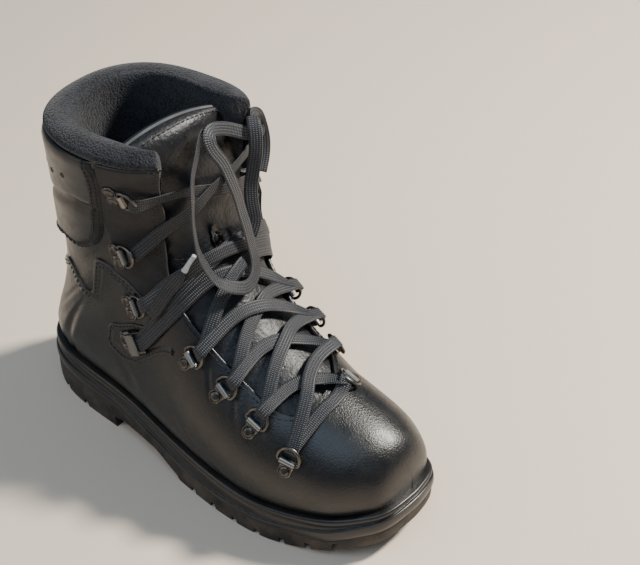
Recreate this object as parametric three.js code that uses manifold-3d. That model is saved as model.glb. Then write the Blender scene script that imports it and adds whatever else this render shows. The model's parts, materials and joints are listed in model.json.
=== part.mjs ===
import * as THREE from 'three';
import { mergeVertices } from 'three/addons/utils/BufferGeometryUtils.js';
import Module from 'manifold-3d';

const wasm = await Module();
wasm.setup();

// A right lace-up boot, in millimetres.
// +X runs from heel to toe, +Y to the medial (inner) side, +Z up; the floor is z = 0.

// Sizes of the last, the foot form that the upper is lasted on
const LAST_LENGTH = 313;
const BALL_WIDTH = 105;
const COLLAR_WIDTH = 110;
const HEEL_HEIGHT = 42;      // floor to the upper's edge at the heel
const INSTEP_RISE = 118;     // from there to the bend of the instep
const SHAFT_RISE = 90;       // from the bend to the collar

const FLAP_SPREAD = 36;      // how far the unlaced medial flap stands open at the ankle

// Walls and clearances
const WALL = 2.4;
const GAP = 0.3;
const OVERLAY = 0.9;         // step of the eyestay above the panels

// Sole
const RIM = 4.6;             // how far the rim stands out from the upper
const FOREFOOT_TREAD = 12.5; // outsole and lugs under the ball
const HEEL_TREAD = 21;       // heel block
const TOE_TREAD = 10;
const TOE_SPRING = 17;
const HEEL_BEVEL = 3;
const ARCH_LIFT = 12;
const LUG_DEPTH = 4.5;
const LUG_GAP = 4;
const INSOLE_THICKNESS = 4;

// Soft parts
const PADDING_THICKNESS = 14;
const PADDING_GAP = 0.8;
const PADDING_RISE = 7;      // roll of the padding above the leather rim
const TONGUE_THICKNESS = 4;
const TONGUE_UNDERLAP = 7;   // degrees that the tongue runs under the eyestay
const TONGUE_HEIGHT = 254;   // top edge above the floor, with the sole under it
const TONGUE_LEAN = 42;      // how far the top edge stands back from the collar's front
const TONGUE_HALF_WIDTH = 34;
const TONGUE_PUFF = 2.4;      // how far its middle stands up in the throat

// Hardware
const RIVET_RADIUS = 4.6;
const RIVET_HEIGHT = 2.2;
const PLATE_THICKNESS = 1;
const CLIP_WIDTH = 10;
const CLIP_BORE = 1.5;
const CLIP_WALL = 1;
const WIRE_RADIUS = 1.1;
const RING_HALF_WIDTH = 7.5;
const RING_DEPTH = 11;
const RIVET_SPACING = 9;
const LOCK_WIDTH = 15;
const LOCK_LENGTH = 13;
const LOCK_SLOT = 3;
const RING_TILT = 12;        // degrees that a ring stands off the leather

// Lace
const LACE_WIDTH = 9;
const LACE_THICKNESS = 1.6;
const LACE_LIFT = 3.2;       // lace centre above the skin between two rings
const LACE_CORNER = 2;       // degrees inside the throat's edge where the lace turns

const DEG = Math.PI / 180;

// Sections of the last from the toe tip to the collar. Each is a closed curve between a top
// point on the ridge and a low point under the foot or behind the heel.
// along: shares of the length; level: 0 heel edge, 1 bend of the instep, 2 collar;
// lateral, medial, middle: shares of the section's reference width;
// widest: where along top to low the width is greatest; powers: roundness of the two halves.
const FOOT = 'ball';
const SHAFT = 'collar';
const SECTION_COLUMNS = [
  'width', 'topAlong', 'topLevel', 'lowAlong', 'lowLevel', 'lateral', 'medial', 'middle',
  'widest', 'topPower', 'lowPower',
];
const SECTIONS = [
  [FOOT, 1.000, 0.085, 1.000, -0.034, 0.000, 0.000, 0.114, 0.50, 2.0, 2.4],
  [FOOT, 0.990, 0.203, 0.990, -0.093, 0.229, 0.190, 0.105, 0.55, 2.0, 2.6],
  [FOOT, 0.962, 0.297, 0.962, -0.127, 0.324, 0.295, 0.086, 0.58, 2.0, 2.8],
  [FOOT, 0.910, 0.364, 0.914, -0.169, 0.429, 0.381, 0.076, 0.60, 2.0, 3.0],
  [FOOT, 0.831, 0.432, 0.840, -0.212, 0.514, 0.419, 0.076, 0.62, 2.0, 3.2],
  [FOOT, 0.741, 0.517, 0.754, -0.229, 0.581, 0.419, 0.076, 0.64, 2.0, 3.2],
  [FOOT, 0.658, 0.627, 0.671, -0.229, 0.590, 0.390, 0.067, 0.64, 2.0, 3.2],
  [FOOT, 0.601, 0.746, 0.581, -0.212, 0.571, 0.362, 0.057, 0.64, 2.0, 3.2],
  [FOOT, 0.559, 0.864, 0.466, -0.195, 0.533, 0.333, 0.048, 0.62, 2.0, 3.0],
  [FOOT, 0.530, 0.975, 0.345, -0.169, 0.486, 0.324, 0.038, 0.60, 2.0, 2.8],
  [FOOT, 0.511, 1.089, 0.224, -0.161, 0.448, 0.343, 0.029, 0.56, 2.0, 2.9],
  [FOOT, 0.498, 1.211, 0.105, -0.136, 0.410, 0.362, 0.019, 0.52, 2.0, 3.0],
  [FOOT, 0.492, 1.322, 0.048, 0.017, 0.371, 0.371, 0.010, 0.50, 2.1, 2.7],
  [FOOT, 0.489, 1.433, 0.067, 0.271, 0.352, 0.362, 0.000, 0.50, 2.1, 2.2],
  [FOOT, 0.489, 1.556, 0.096, 0.576, 0.343, 0.352, 0.000, 0.50, 2.1, 2.2],
  [SHAFT, 0.495, 1.689, 0.115, 0.924, 0.391, 0.382, 0.000, 0.50, 2.2, 2.2],
  [SHAFT, 0.511, 1.844, 0.131, 1.411, 0.455, 0.445, 0.000, 0.50, 2.2, 2.2],
  [SHAFT, 0.537, 2.000, 0.141, 1.922, 0.509, 0.491, 0.000, 0.50, 2.3, 2.3],
].map((row) => Object.fromEntries(SECTION_COLUMNS.map((name, i) => [name, row[i]])));
const COLLAR_ROW = SECTIONS.length - 1;

// Height of the upper's lower edge as shares of the heel height, at even steps from heel to toe
const EDGE_HEIGHT = [1.00, 0.99, 0.965, 0.90, 0.82, 0.75, 0.71, 0.79, 0.98];

// Throat: its middle and half opening, in degrees round the section, by row of the last
const THROAT = [
  { row: 4.45, middle: -11, half: 8 },
  { row: 4.6, middle: -10, half: 23 },
  { row: 5.0, middle: -6.5, half: 31 },
  { row: 5.75, middle: -2, half: 34 },
  { row: 6.7, middle: -1, half: 36 },
  { row: 7.5, middle: 0, half: 38.5 },
  { row: 9.2, middle: 0, half: 43 },
  { row: 10.1, middle: 0, half: 41 },
  { row: 11.4, middle: 0, half: 38 },
  { row: 13.3, middle: 0, half: 38 },
  { row: 15.6, middle: 1, half: 39 },
  { row: 17.0, middle: 3, half: 43 },
];

// The medial flap stands open: shares of the spread by row
const FLAP = [
  { row: 4.6, open: 0 },
  { row: 5.4, open: 0.15 },
  { row: 7.0, open: 0.32 },
  { row: 8.5, open: 0.54 },
  { row: 10, open: 0.80 },
  { row: 12, open: 0.94 },
  { row: 13.5, open: 0.90 },
  { row: 15, open: 0.62 },
  { row: 17, open: 0.14 },
];
const FLAP_HINGE = 105;      // degrees round the section where the opening ends
const FLAP_DIRECTION = new THREE.Vector3(0.24, 0.97, 0);

// Lacing hardware of one side, from the toe up: row and degrees of the rivets and of the ring;
// inward: degrees by which the medial copy sits nearer the ridge
const LACING = [
  { name: '1', rivetRow: 4.29, rivetAngle: 59, ringRow: 4.25, ringAngle: 45, rivets: 1, inward: 22 },
  { name: '2', rivetRow: 5.34, rivetAngle: 53, ringRow: 5.22, ringAngle: 42, rivets: 1, inward: 5 },
  { name: '3', rivetRow: 6.52, rivetAngle: 54, ringRow: 6.27, ringAngle: 44, rivets: 1, inward: 0 },
  { name: '4', rivetRow: 7.86, rivetAngle: 58, ringRow: 7.59, ringAngle: 48, rivets: 1, inward: 0 },
  { name: 'lock', rivetRow: 9.86, rivetAngle: 83.5, ringRow: 9.40, ringAngle: 72, rivets: 2, inward: 0 },
  { name: '5', rivetRow: 10.65, rivetAngle: 68.5, ringRow: 10.25, ringAngle: 57, rivets: 2, inward: 0 },
  { name: '6', rivetRow: 13.20, rivetAngle: 71.5, ringRow: 12.75, ringAngle: 55, rivets: 2, inward: 0 },
  { name: '7', rivetRow: 15.88, rivetAngle: 72, ringRow: 15.75, ringAngle: 56, rivets: 2, inward: 0 },
];

// Smooth natural spline through values one row apart
function rowSpline(values) {
  const last = values.length - 1;
  const bend = new Array(last + 1).fill(0);
  const carry = new Array(last + 1).fill(0);
  for (let i = 1; i < last; i++) {
    const pivot = 4 - carry[i - 1];
    carry[i] = 1 / pivot;
    bend[i] = (6 * (values[i - 1] - 2 * values[i] + values[i + 1]) - bend[i - 1]) / pivot;
  }
  for (let i = last - 1; i > 0; i--) {
    bend[i] -= carry[i] * bend[i + 1];
  }
  return (row) => {
    const i = Math.min(Math.max(Math.floor(row), 0), last - 1);
    const t = row - i;
    const s = 1 - t;
    const cubic = (s ** 3 - s) * bend[i] + (t ** 3 - t) * bend[i + 1];
    return s * values[i] + t * values[i + 1] + cubic / 6;
  };
}

function interpolate(at, xs, ys) {
  if (at <= xs[0]) return ys[0];
  for (let i = 1; i < xs.length; i++) {
    if (at <= xs[i]) {
      return ys[i - 1] + (ys[i] - ys[i - 1]) * (at - xs[i - 1]) / (xs[i] - xs[i - 1]);
    }
  }
  return ys[ys.length - 1];
}

function byRow(table, column) {
  const rows = table.map((entry) => entry.row);
  const values = table.map((entry) => entry[column]);
  return (row) => interpolate(row, rows, values);
}

function height(level) {
  return HEEL_HEIGHT + INSTEP_RISE * Math.min(level, 1) + SHAFT_RISE * Math.max(level - 1, 0);
}

const sectionWidth = (entry) => (entry.width === FOOT ? BALL_WIDTH : COLLAR_WIDTH);
const curve = {
  topX: rowSpline(SECTIONS.map((entry) => entry.topAlong * LAST_LENGTH)),
  topZ: rowSpline(SECTIONS.map((entry) => height(entry.topLevel))),
  lowX: rowSpline(SECTIONS.map((entry) => entry.lowAlong * LAST_LENGTH)),
  lowZ: rowSpline(SECTIONS.map((entry) => height(entry.lowLevel))),
  lateral: rowSpline(SECTIONS.map((entry) => entry.lateral * sectionWidth(entry))),
  medial: rowSpline(SECTIONS.map((entry) => entry.medial * sectionWidth(entry))),
  middle: rowSpline(SECTIONS.map((entry) => entry.middle * sectionWidth(entry))),
  widest: rowSpline(SECTIONS.map((entry) => entry.widest)),
  topPower: rowSpline(SECTIONS.map((entry) => entry.topPower)),
  lowPower: rowSpline(SECTIONS.map((entry) => entry.lowPower)),
};

const flapOpen = byRow(FLAP, 'open');
const throatMiddle = byRow(THROAT, 'middle');
const throatHalf = byRow(THROAT, 'half');

// Spread of the medial flap: nothing at the ridge, all at the throat's edge, nothing at the hinge
function flapSpread(row, angle) {
  const edge = throatMiddle(row) + throatHalf(row);
  if (angle <= 0 || angle >= FLAP_HINGE) return 0;
  if (angle < edge) return FLAP_SPREAD * flapOpen(row) * (1 - Math.cos(Math.PI * angle / edge)) / 2;
  const share = (angle - edge) / (FLAP_HINGE - edge);
  return FLAP_SPREAD * flapOpen(row) * (1 + Math.cos(Math.PI * share)) / 2;
}

// Point of the last: angle 0 is the ridge, negative lateral, positive medial, 180 the low point
function lastPoint(row, angle) {
  const turn = angle * DEG;
  const front = Math.abs(turn) <= Math.PI / 2;
  const power = 2 / (front ? curve.topPower(row) : curve.lowPower(row));
  const along = Math.abs(Math.cos(turn)) ** power;
  const across = Math.abs(Math.sin(turn)) ** power;
  const widest = curve.widest(row);
  const depth = front ? widest * (1 - along) : widest + (1 - widest) * along;
  const half = Math.max(turn < 0 ? curve.lateral(row) : curve.medial(row), 0);
  const point = new THREE.Vector3(
    curve.topX(row) + (curve.lowX(row) - curve.topX(row)) * depth,
    curve.middle(row) + Math.sign(turn) * half * across,
    curve.topZ(row) + (curve.lowZ(row) - curve.topZ(row)) * depth,
  );
  return point.addScaledVector(FLAP_DIRECTION, flapSpread(row, angle));
}

function lastNormal(row, angle) {
  const TIP_ROW = 0.02;
  const STEP = 0.02;
  const TURN = 1.5;
  if (row < TIP_ROW) return new THREE.Vector3(1, 0, 0);
  const ahead = lastPoint(Math.max(row - STEP, 0), angle);
  const behind = lastPoint(Math.min(row + STEP, COLLAR_ROW), angle);
  const left = lastPoint(row, angle - TURN);
  const right = lastPoint(row, angle + TURN);
  return new THREE.Vector3().crossVectors(ahead.sub(behind), right.sub(left)).normalize();
}

// Point of the last moved out along its normal
function skin(row, angle, out = 0) {
  return lastPoint(row, angle).addScaledVector(lastNormal(row, angle), out);
}

const edgeCurve = rowSpline(EDGE_HEIGHT);
const edgeHeight = (x) => HEEL_HEIGHT * edgeCurve(x / LAST_LENGTH * (EDGE_HEIGHT.length - 1));

// Closed geometry from points and triangles, with shared vertices merged and faces outwards
function closed(points, triangles) {
  const geometry = new THREE.BufferGeometry();
  geometry.setAttribute('position', new THREE.Float32BufferAttribute(points.flatMap((p) => p.toArray()), 3));
  geometry.setIndex(triangles.flat());
  const merged = mergeVertices(geometry, 1e-4);
  const index = merged.index.array;
  const position = merged.attributes.position;
  const corner = [new THREE.Vector3(), new THREE.Vector3(), new THREE.Vector3()];
  const kept = [];
  let volume = 0;
  for (let i = 0; i < index.length; i += 3) {
    const [a, b, c] = [index[i], index[i + 1], index[i + 2]];
    if (a === b || b === c || a === c) continue;
    kept.push([a, b, c]);
    [a, b, c].forEach((vertex, k) => corner[k].fromBufferAttribute(position, vertex));
    volume += corner[0].dot(corner[1].clone().cross(corner[2]));
  }
  const outward = volume < 0 ? kept.map(([a, b, c]) => [a, c, b]) : kept;
  merged.setIndex(outward.flat());
  return merged;
}

// Triangles of a grid of points; each grid row has the same number of points
function gridTriangles(rows, columns, first, wrapColumns, wrapRows) {
  const triangles = [];
  const rowCount = wrapRows ? rows : rows - 1;
  const columnCount = wrapColumns ? columns : columns - 1;
  for (let i = 0; i < rowCount; i++) {
    for (let j = 0; j < columnCount; j++) {
      const a = first + i * columns + j;
      const b = first + i * columns + (j + 1) % columns;
      const c = first + ((i + 1) % rows) * columns + (j + 1) % columns;
      const d = first + ((i + 1) % rows) * columns + j;
      triangles.push([a, b, c], [a, c, d]);
    }
  }
  return triangles;
}

// Strip that closes a ring whose points mirror each other about its first point
function ringCap(count, first, flip) {
  const triangles = [];
  const at = (j) => first + (j + count) % count;
  for (let j = 0; j < count / 2; j++) {
    triangles.push([at(j), at(j + 1), at(-j - 1)], [at(j), at(-j - 1), at(-j)]);
  }
  return flip ? triangles.map(([a, b, c]) => [a, c, b]) : triangles;
}

// Solid through closed rings of points, capped at both ends or closed on itself
function loft(rings, loop = false) {
  const count = rings[0].length;
  const triangles = gridTriangles(rings.length, count, 0, true, loop);
  if (!loop) {
    triangles.push(...ringCap(count, 0, true));
    triangles.push(...ringCap(count, (rings.length - 1) * count, false));
  }
  return closed(rings.flat(), triangles);
}

// Solid between two grids of points of the same size
function slab(top, bottom) {
  const rows = top.length;
  const columns = top[0].length;
  const under = rows * columns;
  const triangles = gridTriangles(rows, columns, 0, false, false);
  triangles.push(...gridTriangles(rows, columns, under, false, false).map(([a, b, c]) => [a, c, b]));
  const border = [];
  for (let j = 0; j < columns - 1; j++) border.push(j);
  for (let i = 0; i < rows - 1; i++) border.push(i * columns + columns - 1);
  for (let j = columns - 1; j > 0; j--) border.push((rows - 1) * columns + j);
  for (let i = rows - 1; i > 0; i--) border.push(i * columns);
  border.forEach((a, k) => {
    const b = border[(k + 1) % border.length];
    triangles.push([a, under + a, under + b], [a, under + b, b]);
  });
  return closed([...top.flat(), ...bottom.flat()], triangles);
}

function toManifold(geometry) {
  const bare = geometry.clone();
  bare.deleteAttribute('normal');
  bare.deleteAttribute('uv');
  const merged = mergeVertices(bare, 1e-4);
  return new wasm.Manifold(new wasm.Mesh({
    numProp: 3,
    vertProperties: new Float32Array(merged.attributes.position.array),
    triVerts: new Uint32Array(merged.index.array),
  }));
}

function fromManifold(manifold) {
  const mesh = manifold.getMesh();
  const geometry = new THREE.BufferGeometry();
  const points = [];
  for (let i = 0; i < mesh.vertProperties.length; i += mesh.numProp) {
    points.push(...mesh.vertProperties.slice(i, i + 3));
  }
  geometry.setAttribute('position', new THREE.Float32BufferAttribute(points, 3));
  geometry.setIndex(Array.from(mesh.triVerts));
  return geometry;
}

// The same solid without sealed hollows, such as those left between crossed straps
function filled(geometry) {
  const index = geometry.index.array;
  const position = geometry.attributes.position;
  const parent = Array.from({ length: position.count }, (_, i) => i);
  const root = (i) => {
    let at = i;
    while (parent[at] !== at) at = parent[at];
    return at;
  };
  for (let i = 0; i < index.length; i += 3) {
    parent[root(index[i])] = root(index[i + 1]);
    parent[root(index[i + 1])] = root(index[i + 2]);
  }
  const shells = new Map();
  const corner = [new THREE.Vector3(), new THREE.Vector3(), new THREE.Vector3()];
  for (let i = 0; i < index.length; i += 3) {
    const key = root(index[i]);
    const shell = shells.get(key) ?? { triangles: [], volume: 0 };
    corner.forEach((point, k) => point.fromBufferAttribute(position, index[i + k]));
    shell.volume += corner[0].dot(corner[1].cross(corner[2]));
    shell.triangles.push(index[i], index[i + 1], index[i + 2]);
    shells.set(key, shell);
  }
  const outer = [...shells.values()].filter((shell) => shell.volume > 0);
  geometry.setIndex(outer.flatMap((shell) => shell.triangles));
  return geometry;
}

// Block of a given x-z outline that runs right across the boot
function crossBlock(outline, halfWidth = BALL_WIDTH) {
  const shape = new THREE.Shape(outline.map(([x, z]) => new THREE.Vector2(x, z)));
  const geometry = new THREE.ExtrudeGeometry(shape, { depth: 2 * halfWidth, bevelEnabled: false });
  geometry.rotateX(Math.PI / 2);
  geometry.translate(0, halfWidth, 0);
  return geometry;
}

// Patch of the skin between two angles on each row, from one height above the last to another
function patchPoints(rows, out, columns) {
  return rows.map(({ row, from, to }) => {
    const points = [];
    for (let j = 0; j <= columns; j++) {
      points.push(skin(row, from + (to - from) * j / columns, out));
    }
    return points;
  });
}

function patch(rows, low, high, columns) {
  return slab(patchPoints(rows, high, columns), patchPoints(rows, low, columns));
}

// Upper
const SKIN_ROWS = [
  0, 0.3, 0.8, 1.5, 2.4, 3.4, 4.4, 5.4, 6.5, 7.6, 8.8, 10, 10.9, 11.5, 12, 12.6, 13.3, 14.1, 15, 16, 17,
];
const SKIN_COLUMNS = 34;

function skinRing(row, out) {
  const ring = [];
  for (let j = 0; j < SKIN_COLUMNS; j++) {
    const turn = 360 * j / SKIN_COLUMNS;
    ring.push(skin(row, turn > 180 ? turn - 360 : turn, out));
  }
  return ring;
}

function skinSolid(out, aboveCollar = 0) {
  const rings = SKIN_ROWS.map((row) => skinRing(row, out));
  if (aboveCollar > 0) {
    rings.push(rings[rings.length - 1].map((p) => p.clone().add(new THREE.Vector3(0, 0, aboveCollar))));
  }
  return toManifold(loft(rings));
}

function belowEdge() {
  const MARGIN = 10;
  const STEPS = 24;
  const edge = [];
  for (let i = 0; i <= STEPS; i++) {
    const x = -MARGIN + (LAST_LENGTH + 2 * MARGIN) * i / STEPS;
    edge.push([x, edgeHeight(x)]);
  }
  return toManifold(crossBlock([[-MARGIN, -MARGIN], ...edge, [LAST_LENGTH + MARGIN, -MARGIN]]));
}

function throatCutter() {
  const INSIDE = 9;
  const OUTSIDE = 9;
  const rows = [];
  for (const row of [4.45, 4.6, 5, 5.75, 6.7, 7.5, 8.4, 9.2, 10.1, 11.4, 12.4, 13.3, 14.4, 15.6, 16.4, 17]) {
    const middle = throatMiddle(row);
    const half = throatHalf(row);
    rows.push({ row, from: middle - half, to: middle + half });
  }
  const COLUMNS = 6;
  const layer = (out) => {
    const grid = patchPoints(rows, out, COLUMNS);
    const top = grid[grid.length - 1].map((p) => p.clone().add(new THREE.Vector3(0, 0, INSIDE)));
    return [...grid, top];
  };
  return toManifold(slab(layer(OUTSIDE), layer(-INSIDE)));
}

// The eyestay stands one step above the panels: its outer border, in degrees, by row
const EYESTAY = [
  { row: 10.3, outer: 66 },
  { row: 12.0, outer: 73 },
  { row: 13.5, outer: 80 },
  { row: 15.0, outer: 83 },
  { row: 17.0, outer: 81 },
];

const EYESTAY_ROWS = [10.3, 11.2, 12.2, 13.3, 14.4, 15.6, 16.4, 17];
const EYESTAY_COLUMNS = 4;

function eyestayRows(side) {
  const outer = byRow(EYESTAY, 'outer');
  return EYESTAY_ROWS.map((row) => {
    const edge = throatMiddle(row) + side * throatHalf(row);
    return { row, from: edge, to: throatMiddle(row) + side * outer(row) };
  });
}

function eyestay(side) {
  return toManifold(patch(eyestayRows(side), -2 * WALL, OVERLAY, EYESTAY_COLUMNS));
}

function upper() {
  const ABOVE = 12;
  const outside = skinSolid(0);
  const inside = skinSolid(-WALL, ABOVE);
  const shell = outside.add(eyestay(-1)).add(eyestay(1)).subtract(inside);
  return filled(fromManifold(shell.subtract(throatCutter()).subtract(belowEdge())));
}

// Outline of the upper's lower edge, as a ring of points from the heel round the lateral side
const OUTLINE_COUNT = 44;

function edgeCrossing(row, side) {
  let inside = 90;
  let outside = 180;
  for (let i = 0; i < 30; i++) {
    const angle = (inside + outside) / 2;
    const p = lastPoint(row, side * angle);
    if (p.z > edgeHeight(p.x)) inside = angle;
    else outside = angle;
  }
  return lastPoint(row, side * (inside + outside) / 2);
}

function heelRow() {
  let low = 10;
  let high = 13;
  for (let i = 0; i < 30; i++) {
    const row = (low + high) / 2;
    if (curve.lowZ(row) < edgeHeight(curve.lowX(row))) low = row;
    else high = row;
  }
  return low;
}

function edgeOutline() {
  const DENSE = 160;
  const TIP_ROW = 0.01;
  const end = heelRow();
  const rows = [];
  for (let i = 0; i <= DENSE; i++) {
    rows.push(TIP_ROW + (end - TIP_ROW) * (1 - Math.cos(Math.PI * i / DENSE)) / 2);
  }
  const lateral = rows.map((row) => edgeCrossing(row, -1)).reverse();
  const medial = rows.map((row) => edgeCrossing(row, 1));
  const points = [...lateral, ...medial].map((p) => new THREE.Vector2(p.x, p.y));
  return evenly(points, OUTLINE_COUNT);
}

// Points at equal steps round a closed outline
function evenly(points, count) {
  const steps = points.map((p, i) => p.distanceTo(points[(i + 1) % points.length]));
  const total = steps.reduce((sum, step) => sum + step, 0);
  const result = [];
  let index = 0;
  let before = 0;
  for (let k = 0; k < count; k++) {
    const target = total * k / count;
    while (before + steps[index] < target) {
      before += steps[index];
      index += 1;
    }
    const share = steps[index] > 0 ? (target - before) / steps[index] : 0;
    result.push(points[index].clone().lerp(points[(index + 1) % points.length], share));
  }
  return result;
}

const outline = edgeOutline();
const outwards = outline.map((p, i) => {
  const next = outline[(i + 1) % OUTLINE_COUNT];
  const previous = outline[(i + OUTLINE_COUNT - 1) % OUTLINE_COUNT];
  const along = next.clone().sub(previous).normalize();
  return new THREE.Vector2(along.y, -along.x);
});
const turnsLeft = THREE.ShapeUtils.area(outline) > 0 ? 1 : -1;

// Ring of the outline moved outwards, at a height that depends on x
function outlineRing(out, heightAt) {
  return outline.map((p, i) => {
    const moved = p.clone().addScaledVector(outwards[i], out * turnsLeft);
    return new THREE.Vector3(moved.x, moved.y, heightAt(moved.x));
  });
}

// Sole
const soleFront = LAST_LENGTH + RIM;
const groundAt = (x) => {
  const along = (x + RIM) / (soleFront + RIM);
  const toeRise = Math.max(0, (along - 0.76) / 0.24) ** 1.7;
  const heelRise = Math.max(0, 1 - along / 0.05) ** 1.5;
  return TOE_SPRING * toeRise + HEEL_BEVEL * heelRise;
};
const TREAD_ALONG = [0, 0.30, 0.44, 0.56, 0.76, 0.90, 1];
const TREAD_TOP = [
  HEEL_TREAD + 1, HEEL_TREAD, HEEL_TREAD - 2, FOREFOOT_TREAD + 1.5, FOREFOOT_TREAD,
  FOREFOOT_TREAD + 3.2, TOE_SPRING + TOE_TREAD,
];
const treadTop = (x) => interpolate((x + RIM) / (soleFront + RIM), TREAD_ALONG, TREAD_TOP);

// Side of the midsole from its top edge down: share of its height, and share of the rim's width
const MIDSOLE_SIDE = [
  { down: 0, out: 0.72 },
  { down: 0.08, out: 0.98 },
  { down: 0.22, out: 1.0 },
  { down: 0.30, out: 0.70 },
  { down: 0.40, out: 0.74 },
  { down: 0.72, out: 1.08 },
  { down: 1, out: 1.0 },
];

function midsole() {
  const rings = MIDSOLE_SIDE.map(({ down, out }) => outlineRing(out * RIM, (x) => {
    const top = edgeHeight(x) - GAP;
    return top + (treadTop(x) - top) * down;
  }));
  return loft(rings);
}

// Lugs: slanted grooves from each edge to two channels along the forefoot and the heel
const GROOVES = [0.075, 0.145, 0.215, 0.575, 0.635, 0.695, 0.755, 0.815, 0.875, 0.935];
const CHANNELS = [{ from: 0.05, to: 0.31 }, { from: 0.53, to: 0.93 }];
const CHANNEL_SPACING = 30;
const GROOVE_SLANT = 14;

function treadBox(length, width, x, y, slant) {
  const HEIGHT = 2 * LUG_DEPTH;
  const box = new THREE.BoxGeometry(length, width, HEIGHT);
  box.rotateZ(slant * DEG);
  box.translate(x, y, groundAt(x) + LUG_DEPTH - HEIGHT / 2);
  return toManifold(box);
}

function outsole() {
  const SIDE = [{ out: 1.0, share: 0 }, { out: 1.12, share: 0.35 }, { out: 0.95, share: 1 }];
  const rings = SIDE.map(({ out, share }) => outlineRing(out * RIM, (x) => {
    const top = treadTop(x) - GAP;
    return top + (groundAt(x) - top) * share;
  }));
  const breast = 0.30 * soleFront;
  const tread = 0.53 * soleFront;
  const arch = crossBlock([
    [breast, -10], [breast - 2, ARCH_LIFT - 2], [breast + 6, ARCH_LIFT],
    [tread - 28, ARCH_LIFT], [tread - 6, 4], [tread, -10],
  ]);
  let solid = toManifold(loft(rings)).subtract(toManifold(arch));
  for (const share of GROOVES) {
    for (const side of [-1, 1]) {
      const x = share * soleFront;
      const y = side * (CHANNEL_SPACING / 2 + BALL_WIDTH / 2);
      solid = solid.subtract(treadBox(LUG_GAP, BALL_WIDTH, x, y, side * -GROOVE_SLANT));
    }
  }
  for (const { from, to } of CHANNELS) {
    for (const side of [-1, 1]) {
      const y = side * CHANNEL_SPACING / 2;
      solid = solid.subtract(crossChannel(from * soleFront, to * soleFront, y));
    }
  }
  return fromManifold(solid);
}

// Channel along the tread that follows the toe spring
function crossChannel(from, to, y) {
  const STEPS = 6;
  const roof = [];
  const floor = [];
  for (let i = 0; i <= STEPS; i++) {
    const x = from + (to - from) * i / STEPS;
    roof.push([x, groundAt(x) + LUG_DEPTH]);
    floor.push([x, groundAt(x) - LUG_DEPTH]);
  }
  const geometry = crossBlock([...floor, ...roof.reverse()], LUG_GAP / 2);
  geometry.translate(0, y, 0);
  return toManifold(geometry);
}

function insole() {
  const inset = -(WALL + 1.6);
  const bottom = outlineRing(inset, (x) => edgeHeight(x));
  const top = outlineRing(inset, (x) => edgeHeight(x) + INSOLE_THICKNESS);
  return loft([bottom, top]);
}

// Padding of the collar: its section, from the low inner end round the roll at the rim.
// depth: share of the padding's thickness in from the wall; rise: share of its roll
const PADDING_SECTION = [
  { row: 14.6, depth: 0.05, rise: 0 },
  { row: 15.6, depth: 0, rise: 0 },
  { row: 17, depth: 0, rise: 0 },
  { row: 17, depth: 0, rise: 0.1, over: 1.6 },
  { row: 17, depth: 0, rise: 0.6, over: 2.8 },
  { row: 17, depth: 0.25, rise: 1.1 },
  { row: 17, depth: 0.7, rise: 1.0 },
  { row: 17, depth: 1, rise: 0.4 },
  { row: 16.5, depth: 1, rise: 0 },
  { row: 15.7, depth: 0.9, rise: 0 },
  { row: 15, depth: 0.6, rise: 0 },
];
const PADDING_THIN = 0.35;   // share of the thickness left at the front ends

function paddingSwell(angle) {
  const FULL = 90;
  const from = throatHalf(COLLAR_ROW);
  const share = Math.min(1, Math.max(0, (Math.abs(angle) - from) / (FULL - from)));
  return PADDING_THIN + (1 - PADDING_THIN) * Math.sin(share * Math.PI / 2);
}

function collarPadding() {
  const STATIONS = 21;
  const MARGIN = 2;
  const start = throatMiddle(COLLAR_ROW) - throatHalf(COLLAR_ROW) - MARGIN;
  const finish = throatMiddle(COLLAR_ROW) + throatHalf(COLLAR_ROW) + MARGIN - 360;
  const rings = [];
  for (let i = 0; i <= STATIONS; i++) {
    const turn = start + (finish - start) * i / STATIONS;
    const angle = turn < -180 ? turn + 360 : turn;
    const swell = paddingSwell(angle);
    rings.push(PADDING_SECTION.map(({ row, depth, rise, over = 0 }) => {
      const inset = WALL + PADDING_GAP + depth * PADDING_THICKNESS * swell - over;
      return skin(row, angle, -inset).add(new THREE.Vector3(0, 0, rise * PADDING_RISE + (over ? PADDING_GAP : 0)));
    }));
  }
  return loft(rings);
}

// Tongue: it follows the throat under the eyestay, then leans back inside the collar.
// inset: below the skin; puff: share of the swell of its middle;
// lean: share of the way from the skin to the free, nearly flat top
const TONGUE = [
  { row: 3.9, inset: 3.6, puff: 0, lean: 0 },
  { row: 4.5, inset: 3.6, puff: 0, lean: 0 },
  { row: 5.2, inset: 3.4, puff: 0.8, lean: 0 },
  { row: 6.2, inset: 3.4, puff: 1, lean: 0 },
  { row: 7.4, inset: 3.6, puff: 1, lean: 0 },
  { row: 8.6, inset: 4.0, puff: 1, lean: 0 },
  { row: 10, inset: 4.4, puff: 0.8, lean: 0 },
  { row: 11.4, inset: 4.6, puff: 0.5, lean: 0 },
  { row: 12.6, inset: 5, puff: 0.4, lean: 0.03 },
  { row: 13.8, inset: 6, puff: 0.4, lean: 0.12 },
  { row: 14.8, inset: 7, puff: 0.4, lean: 0.30 },
  { row: 15.8, inset: 7, puff: 0.4, lean: 0.55 },
  { row: 16.6, inset: 7, puff: 0.4, lean: 0.8 },
  { row: 17, inset: 7, puff: 0, lean: 1 },
];

function tonguePoint(entry, share, thickness) {
  const middle = throatMiddle(entry.row);
  const half = throatHalf(entry.row) + TONGUE_UNDERLAP * (1 - entry.lean);
  const angle = middle + share * half;
  const puff = TONGUE_PUFF * entry.puff * (1 - share * share) ** 2;
  const onSkin = skin(entry.row, angle, puff - entry.inset - thickness);
  const free = new THREE.Vector3(
    curve.topX(COLLAR_ROW) - TONGUE_LEAN + 6 * share - thickness,
    share * TONGUE_HALF_WIDTH,
    TONGUE_HEIGHT - 6 * share * share,
  );
  return onSkin.lerp(free, entry.lean);
}

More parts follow.
